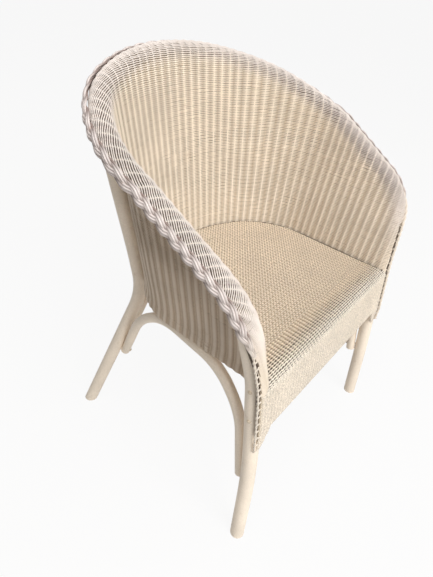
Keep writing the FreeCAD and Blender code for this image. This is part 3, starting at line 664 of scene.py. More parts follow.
class Loom:
    """Geometry tree that spins round strands along guide lines.

    The guides carry: away (direction), phase (half turns of the weave), sway
    (how far the strand swings), thick (radius) and patch (place on the map).
    """

    HELPERS = ("away", "phase", "sway", "thick", "patch", "turn")

    def __init__(self) -> None:
        """Build the tree once."""
        self.tree = bpy.data.node_groups.new("strand_loom", "GeometryNodeTree")
        bench = NodeBench(self.tree)
        sockets = {"Geometry": "Geometry", "Sides": "Int", "Swing": "Float", "Finish": "Material"}
        for name, kind in sockets.items():
            bench.socket(name, "NodeSocket" + kind)
        bench.socket("Geometry", "NodeSocketGeometry", "OUTPUT")
        given = bench.add("NodeGroupInput").outputs

        def named(name: str, kind: str = "FLOAT") -> NodeSocket:
            """Attribute that the guides carry."""
            return bench.out("GeometryNodeInputNamedAttribute", {"Name": name}, data_type=kind)

        def store(shape: NodeSocket, name: str, value: NodeSocket, kind: str, domain: str) -> NodeSocket:
            """Shape that carries a value under a name."""
            inputs = {"Geometry": shape, "Name": name, "Value": value}
            return bench.out("GeometryNodeStoreNamedAttribute", inputs, data_type=kind, domain=domain)

        wave = bench.math("COSINE", bench.math("MULTIPLY", named("phase"), math.pi))
        swing = bench.math("MULTIPLY", bench.math("MULTIPLY", named("sway"), wave), given["Swing"])
        push = bench.out("ShaderNodeVectorMath", {0: named("away", "FLOAT_VECTOR"), "Scale": swing},
                         operation="SCALE")
        swung = bench.out("GeometryNodeSetPosition", {"Geometry": given["Geometry"], "Offset": push})
        line = bench.out("GeometryNodeMeshToCurve", {"Mesh": swung})
        ring = bench.out("GeometryNodeCurvePrimitiveCircle", {"Resolution": given["Sides"], "Radius": 1.0},
                         mode="RADIUS")
        factor = bench.add("GeometryNodeSplineParameter").outputs["Factor"]
        marked = store(ring, "turn", factor, "FLOAT", "POINT")
        tube = bench.out("GeometryNodeCurveToMesh", {"Curve": line, "Profile Curve": marked,
                                                     "Scale": named("thick"), "Fill Caps": True})
        fold = bench.math("ABSOLUTE", bench.math("MULTIPLY_ADD", named("turn"), 2.0, -1.0))
        patch = bench.add("ShaderNodeSeparateXYZ", {0: named("patch", "FLOAT_VECTOR")}).outputs
        across = bench.math("ADD", patch["Y"], bench.math("MULTIPLY", fold, patch["Z"]))
        place = bench.out("ShaderNodeCombineXYZ", {"X": patch["X"], "Y": across})
        mapped = store(tube, BAKE_MAP, place, "FLOAT2", "CORNER")
        soft = bench.out("GeometryNodeSetShadeSmooth", {"Geometry": mapped})
        real = bench.out("GeometryNodeRealizeInstances", {"Geometry": soft})
        done = bench.out("GeometryNodeSetMaterial", {"Geometry": real, "Material": given["Finish"]})
        bench.add("NodeGroupOutput", {"Geometry": done})

    def spin(self, name: str, guides: StrandGuides, finish: Material, sides: int = 4) -> Object:
        """Make one piece of strands that rides on the chair.

        Args:
            name: Name of the piece.
            guides: Its centre lines.
            finish: Its material.
            sides: Sides of each strand.

        Returns:
            The piece as a plain mesh.
        """
        piece = placed(name, guides.mesh(name + "_guides"))
        loom = piece.modifiers.new("loom", "NODES")
        loom.node_group = self.tree
        wanted = {"Sides": sides, "Swing": MM, "Finish": finish}
        for item in self.tree.interface.items_tree:
            if item.in_out == "INPUT" and item.name in wanted:
                loom[item.identifier] = wanted[item.name]
        return settle(made_plain(piece, self.HELPERS))


def made_plain(piece: Object, helpers: tuple[str, ...]) -> Object:
    """Turn a piece's modifiers into its own mesh.

    Args:
        piece: Object with live modifiers.
        helpers: Attributes that are no longer needed.

    Returns:
        The same object.
    """
    graph = bpy.context.evaluated_depsgraph_get()
    mesh = bpy.data.meshes.new_from_object(piece.evaluated_get(graph))
    mesh.name = piece.name
    piece.modifiers.clear()
    piece.data = mesh
    for helper in helpers:
        if helper in mesh.attributes:
            mesh.attributes.remove(mesh.attributes[helper])
    return piece


def sheet_piece(name: str, front: list[Array], back: list[Array], opened: list[Array],
                finish: Material) -> Object:
    """Closed thin sheet from two grids of points, which rides on the chair.

    Args:
        name: Name of the piece.
        front: Lines of points of the shown face, in millimetres.
        back: Lines of points of the other face.
        opened: How open the weave is at each point.
        finish: Its material.

    Returns:
        The piece.
    """
    rows, columns = len(front), len(front[0])
    size = rows * columns
    index = np.arange(size).reshape(rows, columns)
    quads = np.stack([index[:-1, :-1], index[:-1, 1:], index[1:, 1:], index[1:, :-1]], axis=-1)
    quads = quads.reshape(-1, 4)
    rim = np.concatenate([index[0, :-1], index[:-1, -1], index[-1, :0:-1], index[:0:-1, 0]])
    ahead = np.roll(rim, -1)
    sides = np.stack([ahead, rim, rim + size, ahead + size], axis=-1)
    faces = np.vstack([quads, quads[:, ::-1] + size, sides])
    points = np.vstack([*front, *back]) * MM
    mesh = bpy.data.meshes.new(name)
    mesh.from_pydata(points.tolist(), [], faces.tolist())
    mesh.attributes.new("open", "FLOAT", "POINT").data.foreach_set("value", np.tile(np.ravel(opened), 2))
    v, u = np.mgrid[0:1:rows * 1j, 0:1:columns * 1j]
    places = np.stack([u.ravel(), v.ravel()], axis=1)
    loops = faces.ravel()
    behind = np.where(loops[:, None] >= size, (0.0, SHEET_BACK), (0.0, 0.0))
    on_map = places[loops % size] * (1.0, SHEET_SHARE) + behind
    mesh.uv_layers.new(name=BAKE_MAP).data.foreach_set("uv", on_map.ravel())
    mesh.polygons.foreach_set("use_smooth", np.ones(len(faces), dtype=bool))
    mesh.materials.append(finish)
    mesh.update()
    return settle(placed(name, mesh))


class ShaderKit:
    """Shader groups that several finishes share."""

    CLOUDS: float = 14.0
    PATCHES: float = 46.0
    PATCH_ROUGHNESS: float = 0.65
    SWING: Pair = (0.3, 0.7)
    WORN_EDGE: Pair = (0.62, 0.72)
    ROUGHER: float = 0.15
    SPECK_HEIGHT: float = 0.6

    def __init__(self) -> None:
        """Build each group once."""
        self.wear = self._wear()

    def _wear(self) -> ShaderNodeTree:
        """Mottled paint that has worn thin in patches.

        Returns:
            The group, with colour, roughness and height as results.
        """
        tree = bpy.data.node_groups.new("worn_paint", "ShaderNodeTree")
        bench = NodeBench(tree)
        for name in ("Paint", "Under"):
            bench.socket(name, "NodeSocketColor")
        for name in ("Mottle", "Speckle", "Worn", "Grain", "Roughness"):
            bench.socket(name, "NodeSocketFloat")
        bench.socket("Color", "NodeSocketColor", "OUTPUT")
        bench.socket("Roughness", "NodeSocketFloat", "OUTPUT")
        bench.socket("Height", "NodeSocketFloat", "OUTPUT")
        given = bench.add("NodeGroupInput").outputs
        cloudy = bench.noise(self.CLOUDS, 3.0)
        patchy = bench.noise(self.PATCHES, 5.0, self.PATCH_ROUGHNESS)
        fine = bench.noise(given["Grain"], 2.0)
        clouds, specks = (bench.remap(noise, self.SWING, (-1.0, 1.0)) for noise in (cloudy, fine))
        tone = bench.math("MULTIPLY_ADD", clouds, given["Mottle"], 1.0)
        tone = bench.math("ADD", tone, bench.math("MULTIPLY", specks, given["Speckle"]))
        shaded = bench.out("ShaderNodeVectorMath", {0: given["Paint"], "Scale": tone}, operation="SCALE")
        share = bench.math("MULTIPLY", bench.remap(patchy, self.WORN_EDGE), given["Worn"])
        rough = bench.math("ADD", given["Roughness"], bench.math("MULTIPLY", patchy, self.ROUGHER))
        height = bench.math("SUBTRACT", bench.math("MULTIPLY", fine, self.SPECK_HEIGHT), share)
        bench.add("NodeGroupOutput", {"Color": bench.mix(share, shaded, given["Under"]),
                                      "Roughness": rough, "Height": height})
        return tree


def blank_finish(name: str) -> tuple[Material, NodeBench, Node]:
    """New material and what its nodes are placed with.

    Args:
        name: Name of the material.

    Returns:
        The material, a bench for its nodes and the shader that they end in.
    """
    material = bpy.data.materials.new(name)
    material.use_nodes = True
    return material, NodeBench(material.node_tree), material.node_tree.nodes["Principled BSDF"]


@dataclass(frozen=True)
class WornPaint:
    """Matt paint over wood or fibre, mottled and worn in patches.

    By attributes of the piece, the paint takes painted shade away from the crests
    of the weave, turns to another colour towards the rim and takes painted shade on its outer face.
    """

    name: str
    paint: Shade
    under: Shade
    mottle: float = 0.06
    speckle: float = 0.05
    worn: float = 0.4
    grain: float = 900.0
    roughness: float = 0.5
    bump: float = 0.15
    turned: Shade | None = None
    # colours of painted shade: of the weave's valleys, and of its shaded outer face and grooves
    valley_shade: Shade | None = None
    outer_shade: Shade | None = None

    def make(self, kit: ShaderKit) -> Material:
        """Build the material from the shared groups.

        Args:
            kit: Shared shader groups.

        Returns:
            The material.
        """
        material, bench, shader = blank_finish(self.name)
        paint = rgb(self.paint)
        # painted shade: darker away from the weave's crests, and on its outer face and grooves
        if self.valley_shade:
            paint = bench.mix(bench.attribute("crest"), rgb(self.valley_shade), paint)
        for name, colour in (("rim", self.turned), ("outer_shade", self.outer_shade)):
            if colour:
                paint = bench.mix(bench.attribute(name), paint, rgb(colour))
        given = {"Paint": paint, "Under": rgb(self.under), "Mottle": self.mottle, "Speckle": self.speckle,
                 "Worn": self.worn, "Grain": self.grain, "Roughness": self.roughness}
        group = bench.add("ShaderNodeGroup", given, node_tree=kit.wear)
        made = group.outputs
        bench.feed(shader, {"Base Color": made["Color"], "Roughness": made["Roughness"],
                            "Normal": bench.bump(self.bump, PAINT_DEPTH, made["Height"])})
        return material


@dataclass(frozen=True)
class FibreCore:
    """Painted shade inside the weave: paint that clogs it where it is close, a little darker as shade, and
    dark shade where it opens.
    """

    name: str
    # the paint-clogged colour, a little darker as painted shade, and the dark painted shade of open gaps
    clogged: Shade = (206, 190, 164)
    dark: Shade = (70, 55, 46)
    grain: float = 320.0
    wobble: float = 0.5
    roughness: float = 0.85

    def make(self) -> Material:
        """Build the material; the piece's own attribute says how open it is.

        Returns:
            The material.
        """
        material, bench, shader = blank_finish(self.name)
        wobble = bench.math("MULTIPLY_ADD", bench.noise(self.grain, 2.0), self.wobble, -self.wobble / 2)
        share = bench.math("ADD", bench.attribute("open"), wobble, use_clamp=True)
        bench.feed(shader, {"Base Color": bench.mix(share, rgb(self.clogged), rgb(self.dark)),
                            "Roughness": self.roughness})
        return material


@dataclass(frozen=True)
class PlainWood:
    """Bare pale wood with a long grain."""

    name: str
    light: Shade = (196, 160, 118)
    dark: Shade = (150, 112, 74)
    stretch: tuple[float, float, float] = (6.0, 90.0, 90.0)
    bump: float = 0.1
    roughness: float = 0.6

    def make(self) -> Material:
        """Build the material on the piece's own place.

        Returns:
            The material.
        """
        material, bench, shader = blank_finish(self.name)
        place = bench.add("ShaderNodeTexCoord").outputs["Object"]
        long_way = bench.out("ShaderNodeMapping", {"Vector": place, "Scale": self.stretch})
        grain = bench.noise(1.0, 4.0, place=long_way)
        bench.feed(shader, {"Base Color": bench.mix(grain, rgb(self.light), rgb(self.dark)),
                            "Normal": bench.bump(self.bump, GRAIN_DEPTH, grain),
                            "Roughness": self.roughness})
        return material


@dataclass(frozen=True)
class DullSteel:
    """Old steel of screws and tacks, spotted with rust and paint."""

    name: str
    metal: Shade = (128, 122, 114)
    spots: Shade = (92, 66, 46)
    grain: float = 700.0
    spot_edge: Pair = (0.5, 0.62)
    roughness: Pair = (0.35, 0.75)

    def make(self) -> Material:
        """Build the material on the piece's own place.

        Returns:
            The material.
        """
        material, bench, shader = blank_finish(self.name)
        noise = bench.noise(self.grain, 3.0)
        share = bench.remap(noise, self.spot_edge)
        bench.feed(shader, {"Base Color": bench.mix(share, rgb(self.metal), rgb(self.spots)),
                            "Roughness": bench.remap(noise, (0.0, 1.0), self.roughness),
                            "Metallic": bench.math("SUBTRACT", 1.0, share)})
        return material


@dataclass
class Finishes:
    """All finishes of the chair."""

    kit: ShaderKit

    def __post_init__(self) -> None:
        """Make each material once."""
        # the valley colours of tub, seat and braid, and the tub's dark outer colour, are painted shade of
        # the weave
        self.tub = WornPaint("tub_fibre_paint", (249, 237, 220), (196, 168, 132), worn=0.25, roughness=0.55,
                             turned=(228, 218, 210), valley_shade=(215, 197, 172), outer_shade=(172, 130, 90),
                             speckle=0.06).make(self.kit)
        self.seat = WornPaint("seat_fibre_paint", (234, 218, 197), (180, 156, 124), worn=0.3, roughness=0.6,
                              turned=(229, 220, 206), valley_shade=(164, 143, 116), speckle=0.3,
                              grain=520.0).make(self.kit)
        self.braid = WornPaint("braid_paint", (232, 221, 216), (178, 146, 130), worn=0.5, grain=700.0,
                               bump=0.25, turned=(228, 217, 202), valley_shade=(146, 128, 120)).make(self.kit)
        self.core = FibreCore("fibre_core_shade").make()
        self.wood = WornPaint("frame_paint", (250, 236, 217), (196, 164, 140), worn=0.25, grain=380.0,
                              roughness=0.42, bump=0.12).make(self.kit)
        self.screw = WornPaint("screw_paint", (220, 204, 180), (96, 74, 56), worn=0.8).make(self.kit)
        self.by_slot = {Slot.PAINTED_WOOD: self.wood, Slot.PLAIN_WOOD: PlainWood("plain_wood").make(),
                        Slot.STEEL: DullSteel("dull_steel").make()}


@dataclass
class Woven:
    """What every woven piece is made with."""

    loom: Loom
    finishes: Finishes


@dataclass
class TubWeave(Woven):
    """Woven cloth of back, arms and rim: rows of twined weft round upright stakes.

    Pairs that end in ends or seams are for the left and the right post. Pairs that
    end in past, heights or edge are where a soft step starts and ends.
    """

    tub: TubShape
    stake_pitch: float = 16.6
    row_pitch: float = 3.3
    steps: int = 6
    sway: float = 1.25
    clogged_sway: float = 0.35
    open_sway: float = 0.5
    twist: float = 0.25
    knot_radius: float = 1.55
    open_knot: float = 0.2
    weft_radius: float = 1.14
    open_radius: float = 0.82
    clogged_radius: float = 1.46
    uneven: float = 0.03
    stake_radius: float = 1.5
    clogged_stake: float = 0.35
    open_stake: float = 0.3
    # painted shade of stakes where the weave opens
    open_stake_rim_shade: float = 0.7
    open_stake_tone: float = 0.8
    stake_step: float = 6.0
    fewest: int = 3
    crest_power: float = 4.0
    open_power: float = 3.0
    # painted shade of the weave: tones of its valleys and clogged parts, and of its shaded outer face and
    # grooves
    inner_tone: float = 0.4
    clogged_tone: float = 0.5
    clogged_share: float = 0.6
    groove_edge: Pair = (0.5, 0.9)
    outer_shade_edge: Pair = (-0.05, 0.25)
    outer_shade_all: float = 0.17
    outer_shade_groove: float = 0.26
    sink: float = 1.8
    sink_heights: Pair = (406.0, 391.0)
    bottom: float = 383.5
    rim_end: float = 150.0
    post_ends: Pair = (122.5, 66.0)
    post_seams: Pair = (486.0, 516.0)
    seam_blend: float = 14.0
    rim_past: Pair = (-26.0, 12.0)
    rim_heights: Pair = (430.0, 560.0)
    open_past: Pair = (-16.0, 2.0)
    open_heights: Pair = (540.0, 580.0)
    top_heights: Pair = (690.0, 765.0)
    top_close: float = 0.35
    clogged_past: Pair = (-8.0, 6.0)
    clogged_heights: Pair = (522.0, 560.0)
    core_ends: Pair = (140.0, 96.0)
    core_rim_end: float = 176.0
    core_columns: int = 190
    core_rows: int = 64
    # painted shade of the core: its tone, the dark slits beside the rope and less of it under the plait
    core_tone: float = 0.5
    slit_edge: Pair = (-2.0, 1.0)
    slit_heights: Pair = (520.0, 540.0)
    plait_edge: Pair = (-3.0, 0.0)
    plait_close: float = 0.7
    wobble: float = 0.2
    bands: int = 5
    seed: int = 7

    def __post_init__(self) -> None:
        """Work out how far the cloth goes."""
        self.reach = self.tub.roll_radius * math.radians(self.rim_end)
        self.middle = self.tub.cloth / 2
        self.last = self.tub.run_at_y(float(self.tub.post_y(self.bottom))) + self.reach
        self.top = self.tub.rim_height + self.reach

    def build(self) -> None:
        """Make the weft in bands, the stakes and the core behind them."""
        rows = np.arange(self.bottom, self.top - 1.0, self.row_pitch)
        random = np.random.default_rng(self.seed)
        bands = [self._weft(f"tub_weft_{number}", band, random)
                 for number, band in enumerate(np.array_split(rows, self.bands), start=1)]
        self._stakes()
        self._core()
        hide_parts("tub_shell")

    def _rim(self, laid: Laid) -> Array:
        """Share of the whiter paint, which grows towards the rim and covers its roll."""
        return smooth(self.rim_past, laid.past) * smooth(self.rim_heights, laid.edge_height)

    def _opening(self, laid: Laid) -> Array:
        """How far the weave is pulled open, most on the roll of the arms."""
        top = 1.0 - self.top_close * smooth(self.top_heights, laid.edge_height)
        return smooth(self.open_past, laid.past) * (smooth(self.open_heights, laid.edge_height) * top)

    def _clogged(self, laid: Laid) -> Array:
        """How far paint fills the weave, which it does on the posts."""
        return smooth(self.clogged_past, laid.past) * (1.0 - smooth(self.clogged_heights, laid.edge_height))

    def _beyond(self, laid: Laid, ends: Pair, rim_end: float) -> Array:
        """How far a place is beyond the end of the cloth.

        Args:
            laid: Cloth that is looked at.
            ends: Angles on the roll at which it ends on the left and right post.
            rim_end: Angle at which it ends on the rim.

        Returns:
            Lengths, below zero where there is cloth.
        """
        left = laid.points[..., 0] < 0.0
        seam, end = np.where(left, *self.post_seams), np.where(left, *ends)
        share = smooth((-self.seam_blend, self.seam_blend), laid.edge_height - seam)
        return laid.past - self.tub.roll_radius * np.radians(between(end, rim_end, share))

    def _weft(self, name: str, rows: Array, random: Random) -> Object:
        """One band of weft rows, each of two strands that swell where they cross the stakes.

        Args:
            name: Name of the piece.
            rows: Heights of the band's rows.
            random: Source of unevenness.

        Returns:
            The piece.
        """
        guides = StrandGuides()
        step = self.stake_pitch / self.steps
        reach = math.floor(self.last / step)
        run = np.arange(-reach, reach + 1) * step
        along, count = (run + self.last) / (2 * self.last), 2 * len(rows)
        for place, row in enumerate(rows):
            drift = wander(len(run), random) * self.wobble
            uneven = 1.0 + self.uneven * random.normal()
            for strand in (0, 1):
                phase = run / self.stake_pitch + strand
                height = row + drift + self.twist * np.sin(math.pi * phase)
                sunk = self.middle + self.sink * smooth(self.sink_heights, height)
                laid = self.tub.cloth_at(run, height, sunk)
                patch = strip(along, 2 * place + strand, count)
                guides.add(laid.points, self._beyond(laid, self.post_ends, self.rim_end) <= 0.0,
                           away=-laid.ways, phase=phase, patch=patch, rim=self._rim(laid),
                           **self._strand(laid, phase, uneven))
        return self.loom.spin(name, guides, self.finishes.tub)

    def _strand(self, laid: Laid, phase: Array, uneven: float) -> dict[str, Array]:
        """Swing, thickness and painted shade of one weft strand.

        Args:
            laid: Cloth that it lies in.
            phase: Half turns of the weave at its points.
            uneven: How much thicker than usual it is.

        Returns:
            Values at its points, by attribute name.
        """
        clogged, opening = self._clogged(laid), self._opening(laid)
        wave = np.cos(math.pi * phase)
        beat = np.abs(wave) ** (self.crest_power + self.open_power * opening)
        thin = between(self.weft_radius, self.open_radius, opening)
        thick = uneven * between(thin, self.knot_radius - self.open_knot * opening, beat)
        # painted shade: bright where the strand crosses a stake, darker between stakes; the outer face is
        # darker still, most in its grooves
        crest = np.where(wave > 0.0, between(self.inner_tone, 1.0, beat), np.abs(wave))
        groove = 1.0 - smooth(self.groove_edge, -wave)
        outer_shade = smooth(self.outer_shade_edge, -wave) * (self.outer_shade_all + self.outer_shade_groove * groove)
        return {"sway": self.sway * (1.0 - self.clogged_sway * clogged - self.open_sway * opening),
                "thick": between(thick, self.clogged_radius, clogged) * MM,
                "crest": between(crest, self.clogged_tone, self.clogged_share * clogged),
                "outer_shade": outer_shade * (1.0 - clogged)}

    def _stakes(self) -> None:
        """Upright stakes that the weft goes round."""
        guides = StrandGuides()
        count = math.floor(self.last / self.stake_pitch)
        total = 2 * count + 1
        height = np.arange(self.bottom - 1.0, self.top, self.stake_step)
        along = (height - self.bottom) / (self.top - self.bottom)
        for number in range(-count, count + 1):
            laid = self.tub.cloth_at(np.full(len(height), number * self.stake_pitch), height, self.middle)
            kept = self._beyond(laid, self.post_ends, self.rim_end) <= 0.0
            if kept.sum() < self.fewest:
                continue
            opening = self._opening(laid)
            thick = 1.0 - self.clogged_stake * self._clogged(laid) - self.open_stake * opening
            # painted shade: stakes darken, and lose the rim colour, where the weave opens on the roll
            guides.add_still(laid.points, kept, away=-laid.ways, thick=self.stake_radius * thick * MM,
                             patch=strip(along, number + count, total),
                             rim=self._rim(laid) * (1.0 - self.open_stake_rim_shade * opening),
                             crest=1.0 - self.open_stake_tone * opening)
        self.loom.spin("tub_stakes", guides, self.finishes.tub)

    def _core(self) -> None:
        """Thin sheet of painted shade in the middle of the cloth, which shows through its gaps and slits.
        """
        rim_reach = self.tub.roll_radius * math.radians(self.core_rim_end)
        heights = np.arange(self.bottom, self.tub.rim_height + rim_reach, 1.0)
        front, back, opened = [], [], []
        for column in np.linspace(-self.last + 1.0, self.last - 1.0, self.core_columns):
            whole = self.tub.cloth_at(np.full(len(heights), column), heights, self.middle)
            beyond = np.nonzero(self._beyond(whole, self.core_ends, self.core_rim_end) > 0.0)[0]
            last = beyond[0] - 1 if len(beyond) else len(heights) - 1
            line = np.linspace(self.bottom, heights[max(last, 1)], self.core_rows)
            run = np.full(self.core_rows, column)
            inner = self.tub.cloth_at(run, line, self.middle - CORE_HALF)
            front.append(inner.points)
            back.append(self.tub.cloth_at(run, line, self.middle + CORE_HALF).points)
            # painted shade: the slits beside the rope are dark, and the closed weave shows a half-dark
            # core, less under the plait
            slit = smooth(self.slit_edge, self._beyond(inner, self.post_ends, self.rim_end))
            slit = slit * (1.0 - smooth(self.slit_heights, inner.edge_height))
            covered = 1.0 - self.plait_close * smooth(self.plait_edge, inner.past - self.reach)
            opened.append(np.maximum(between(self.core_tone, 1.0, self._opening(inner)) * covered, slit))
        sheet_piece("tub_core", front, back, opened, self.finishes.core)


@dataclass
class SeatWeave(Woven):
    """Woven seat that rolls over the front and hangs as the apron.

    Pairs are where a soft step starts and ends, in lengths past the flat seat.
    """

    seat: SeatShape
    stake_pitch: float = 9.2
    row_pitch: float = 4.15
    steps: int = 4
    sway: float = 1.3
    apron_sway: float = 0.5
    twist: float = 0.25
    knot_radius: float = 1.74
    weft_radius: float = 1.46
    open_radius: float = 0.88
    apron_radius: float = 2.05
    apron_beat: float = 0.08
    apron_calm: float = 0.6
    apron_paint: float = 0.35
    # less painted shade on the apron's close weave
    apron_fade: float = 0.5
    apron_tone: float = 0.45
    uneven: float = 0.03
    stake_radius: float = 1.35
    open_stake: float = 0.25
    flat_stake: float = 0.4
    # painted shade of stakes where the front roll opens
    open_stake_tone: float = 0.4
    stake_step: float = 5.0
    crest_power: float = 2.0
    depth: float = 2.5
    seam: float = 3.0
    wobble: float = 0.25
    open_start: Pair = (-30.0, -8.0)
    open_stop: Pair = (20.0, 32.0)
    apron_start: Pair = (20.0, 34.0)
    paint_start: Pair = (-24.0, 16.0)
    plain_first: float = 2.0
    plain_pitch: float = 4.6
    plain_row: float = 3.6
    plain_radius: float = 1.4
    plain_sway: float = 0.95
    plain_uneven: float = 0.05
    plain_margin: float = 34.0
    plain_blend: float = 4.0
    plain_fewest: int = 7
    tail: float = 42.0
    tail_width: float = 26.0
    tail_steps: float = 4.0
    tail_sink: float = 4.0
    core_step: float = 3.0
    core_columns: int = 130
    core_inset: float = 0.5
    # painted shade of the core: its tone, and the dark strip at its edges
    core_tone: float = 0.55
    core_lift: float = 0.8
    core_seam: float = 1.7
    dark_strip: float = 5.5
    dark_edge: Pair = (0.0, 2.0)
    seed: int = 11

    def __post_init__(self) -> None:
        """Work out how far the cloth goes."""
        self.widest = self.seat.corner + self.seat.wrap

    def build(self) -> None:
        """Make the weft of seat and apron, the stakes and the core behind them."""
        random = np.random.default_rng(self.seed)
        self._plain_weft(random)
        front = self._twined_weft(random)
        self._stakes()
        self._core()
        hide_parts("seat_panel")

    def _opening(self, past: Array) -> Array:
        """How far the weave is pulled open, which it is on the front roll only."""
        return smooth(self.open_start, past) * (1.0 - smooth(self.open_stop, past))

    def _flat(self, past: Array) -> Array:
        """Share of the flat seat's plain weave."""
        return 1.0 - smooth((-self.plain_blend, self.plain_blend), past + self.plain_margin)

    def _apron(self, past: Array) -> Array:
        """Share of the apron's close, paint-clogged weave."""
        return smooth(self.apron_start, past)

    def _paint(self, past: Array) -> Array:
        """Share of the fresher paint, which covers the roll and the apron."""
        return smooth(self.paint_start, past)

    def _across(self, row: float, step: float) -> Array:
        """Places of a row's points, from its left end to its right.

        Args:
            row: Length of the row from the back of the seat.
            step: Distance between the points.

        Returns:
            Distances from the middle.
        """
        half = self.seat.half(row)
        if row < self.seat.flat_run:
            half -= self.seam
        reach = math.floor(half / step)
        across = np.arange(-reach, reach + 1) * step
        return across[across <= self.seat.right_edge]

    def _plain_weft(self, random: Random) -> None:
        """Flat seat: single strands over one stake and under the next, each row the other way.

        Args:
            random: Source of unevenness.
        """
        guides = StrandGuides()
        rows = np.arange(self.plain_first, self.seat.flat_run - self.plain_margin, self.plain_row)
        for number, row in enumerate(rows):
            across = self._across(float(row), self.plain_pitch / 2)
            size = len(across)
            if size < self.plain_fewest:
                continue
            phase = across / self.plain_pitch + number % 2
            laid = self.seat.cloth_at(across, row + wander(size, random) * self.wobble, self.depth)
            along = (across + self.seat.corner) / (2 * self.seat.corner)
            uneven = 1.0 + self.plain_uneven * random.normal(0.0, 1.0, size)
            # painted shade: strands are light where they pass over a stake and dark where they pass under
            guides.add(laid.points, away=-laid.ways, phase=phase, sway=self.plain_sway,
                       thick=self.plain_radius * uneven * MM, rim=self._paint(laid.past),
                       patch=strip(along, number, len(rows)),
                       crest=0.5 + 0.5 * np.cos(math.pi * phase))
        self.loom.spin("seat_weft_rear", guides, self.finishes.seat)

    def _twined_rows(self) -> list[tuple[float, Array]]:
        """Rows of the front roll, the apron and the two tails that run down the posts.

        Returns:
            Length of each row from the back of the seat, and the places of its points.
        """
        step = self.stake_pitch / self.steps
        first = self.seat.flat_run - self.plain_margin + 1.0
        rows = []
        for row in np.arange(first, self.seat.length + self.tail, self.row_pitch):
            across = self._across(float(row), step)
            below = (row - self.seat.length) / self.tail
            if below <= 0.0:
                rows.append((float(row), across))
                continue
            width = self.tail_width * (1.0 - below) + self.tail_steps * step
            rows.append((float(row), across[across < across[0] + width]))
            rows.append((float(row), across[across > across[-1] - width]))
        return rows

    def _twined_weft(self, random: Random) -> Object:
        """Front roll and apron: rows of two strands each that swell at the stakes.

        Args:
            random: Source of unevenness.

        Returns:
            The piece.
        """
        guides = StrandGuides()
        rows = self._twined_rows()
        count = 2 * len(rows)
        for number, (row, across) in enumerate(rows):
            below = max(0.0, (row - self.seat.length) / self.tail)
            along = (across + self.widest) / (2 * self.widest)
            calm = 1.0 - self.apron_calm * self._apron(row - self.seat.flat_run)
            drift = wander(len(across), random) * self.wobble * calm
            uneven = 1.0 + self.uneven * random.normal()
            for strand in (0, 1):
                phase = across / self.stake_pitch + strand
                run = row + drift + self.twist * np.sin(math.pi * phase)
                laid = self.seat.cloth_at(across, run, self.depth + self.tail_sink * below)
                apron = self._apron(laid.past)
                beat = np.abs(np.cos(math.pi * phase)) ** self.crest_power
                thin = between(self.weft_radius, self.open_radius, self._opening(laid.past))
                close = self.apron_radius * between(1.0 - self.apron_beat, 1.0, beat)
                thick = between(uneven * between(thin, self.knot_radius, beat), close, apron)
                # painted shade: strands are light at the stakes and darker between them, with less contrast
                # on the apron
                guides.add(laid.points, away=-laid.ways, phase=phase, thick=thick * MM,
                           sway=self.sway * (1.0 - self.apron_sway * apron),
                           patch=strip(along, 2 * number + strand, count),
                           rim=self._paint(laid.past) * (1.0 - self.apron_paint * apron),
                           crest=beat * (1.0 - self.apron_fade * apron) + self.apron_tone * apron)
        return self.loom.spin("seat_weft_front", guides, self.finishes.seat)

    def _stakes(self) -> None:
        """Stakes that run from the back of the seat down to the hem."""
        guides = StrandGuides()
        count = math.floor(self.widest / self.stake_pitch)
        total = 2 * count + 1
        for number in range(-count, count + 1):
            across = number * self.stake_pitch
            if across > self.seat.right_edge:
                continue
            run = np.arange(self.seat.start(across) + 1.0, self.seat.length, self.stake_step)
            laid = self.seat.cloth_at(np.full(len(run), across), run, self.depth)
            opening = self._opening(laid.past)
            thick = 1.0 - self.open_stake * opening - self.flat_stake * self._flat(laid.past)
            patch = strip(run / self.seat.length, number + count, total)
            # painted shade: stakes darken where the weave opens on the front roll
            guides.add_still(laid.points, away=-laid.ways, thick=self.stake_radius * thick * MM,
                             patch=patch, rim=self._paint(laid.past),
                             crest=1.0 - self.open_stake_tone * opening)
        self.loom.spin("seat_stakes", guides, self.finishes.seat)

    def _core(self) -> None:
        """Thin sheet of painted shade in the middle of the cloth, darkest in a strip beside the rope and
        the tub wall.
        """
        front, back, opened = [], [], []
        for run in np.arange(1.0, self.seat.length + 1.0, self.core_step):
            half = self.seat.half(float(run))
            wrapped = half > self.seat.corner
            left = half + self.dark_strip if wrapped else half - self.core_inset
            right = min(left, self.seat.right_edge + 2.0 * self.dark_strip)
            across = np.linspace(-left, right, self.core_columns)
            line = np.full(self.core_columns, run)
            past = line - self.seat.flat_run
            edge = half if wrapped else half - self.core_seam * self.seam
            edge = np.where(across > 0.0, min(edge, self.seat.right_edge), edge)
            # painted shade: the strip beside the rope and the wall, and the gaps of the front roll, are
            # dark
            beside = smooth(self.dark_edge, np.abs(across) - edge)
            lift = self.core_lift * self._apron(past) * (1.0 - beside)
            front.append(self.seat.cloth_at(across, line, self.depth - CORE_HALF - lift).points)
            back.append(self.seat.cloth_at(across, line, self.depth + CORE_HALF).points)
            shown = between(self.core_tone, 1.0, self._opening(past)) - self.core_tone * self._apron(past)
            opened.append(np.maximum(shown, beside))
        sheet_piece("seat_core", front, back, opened, self.finishes.core)


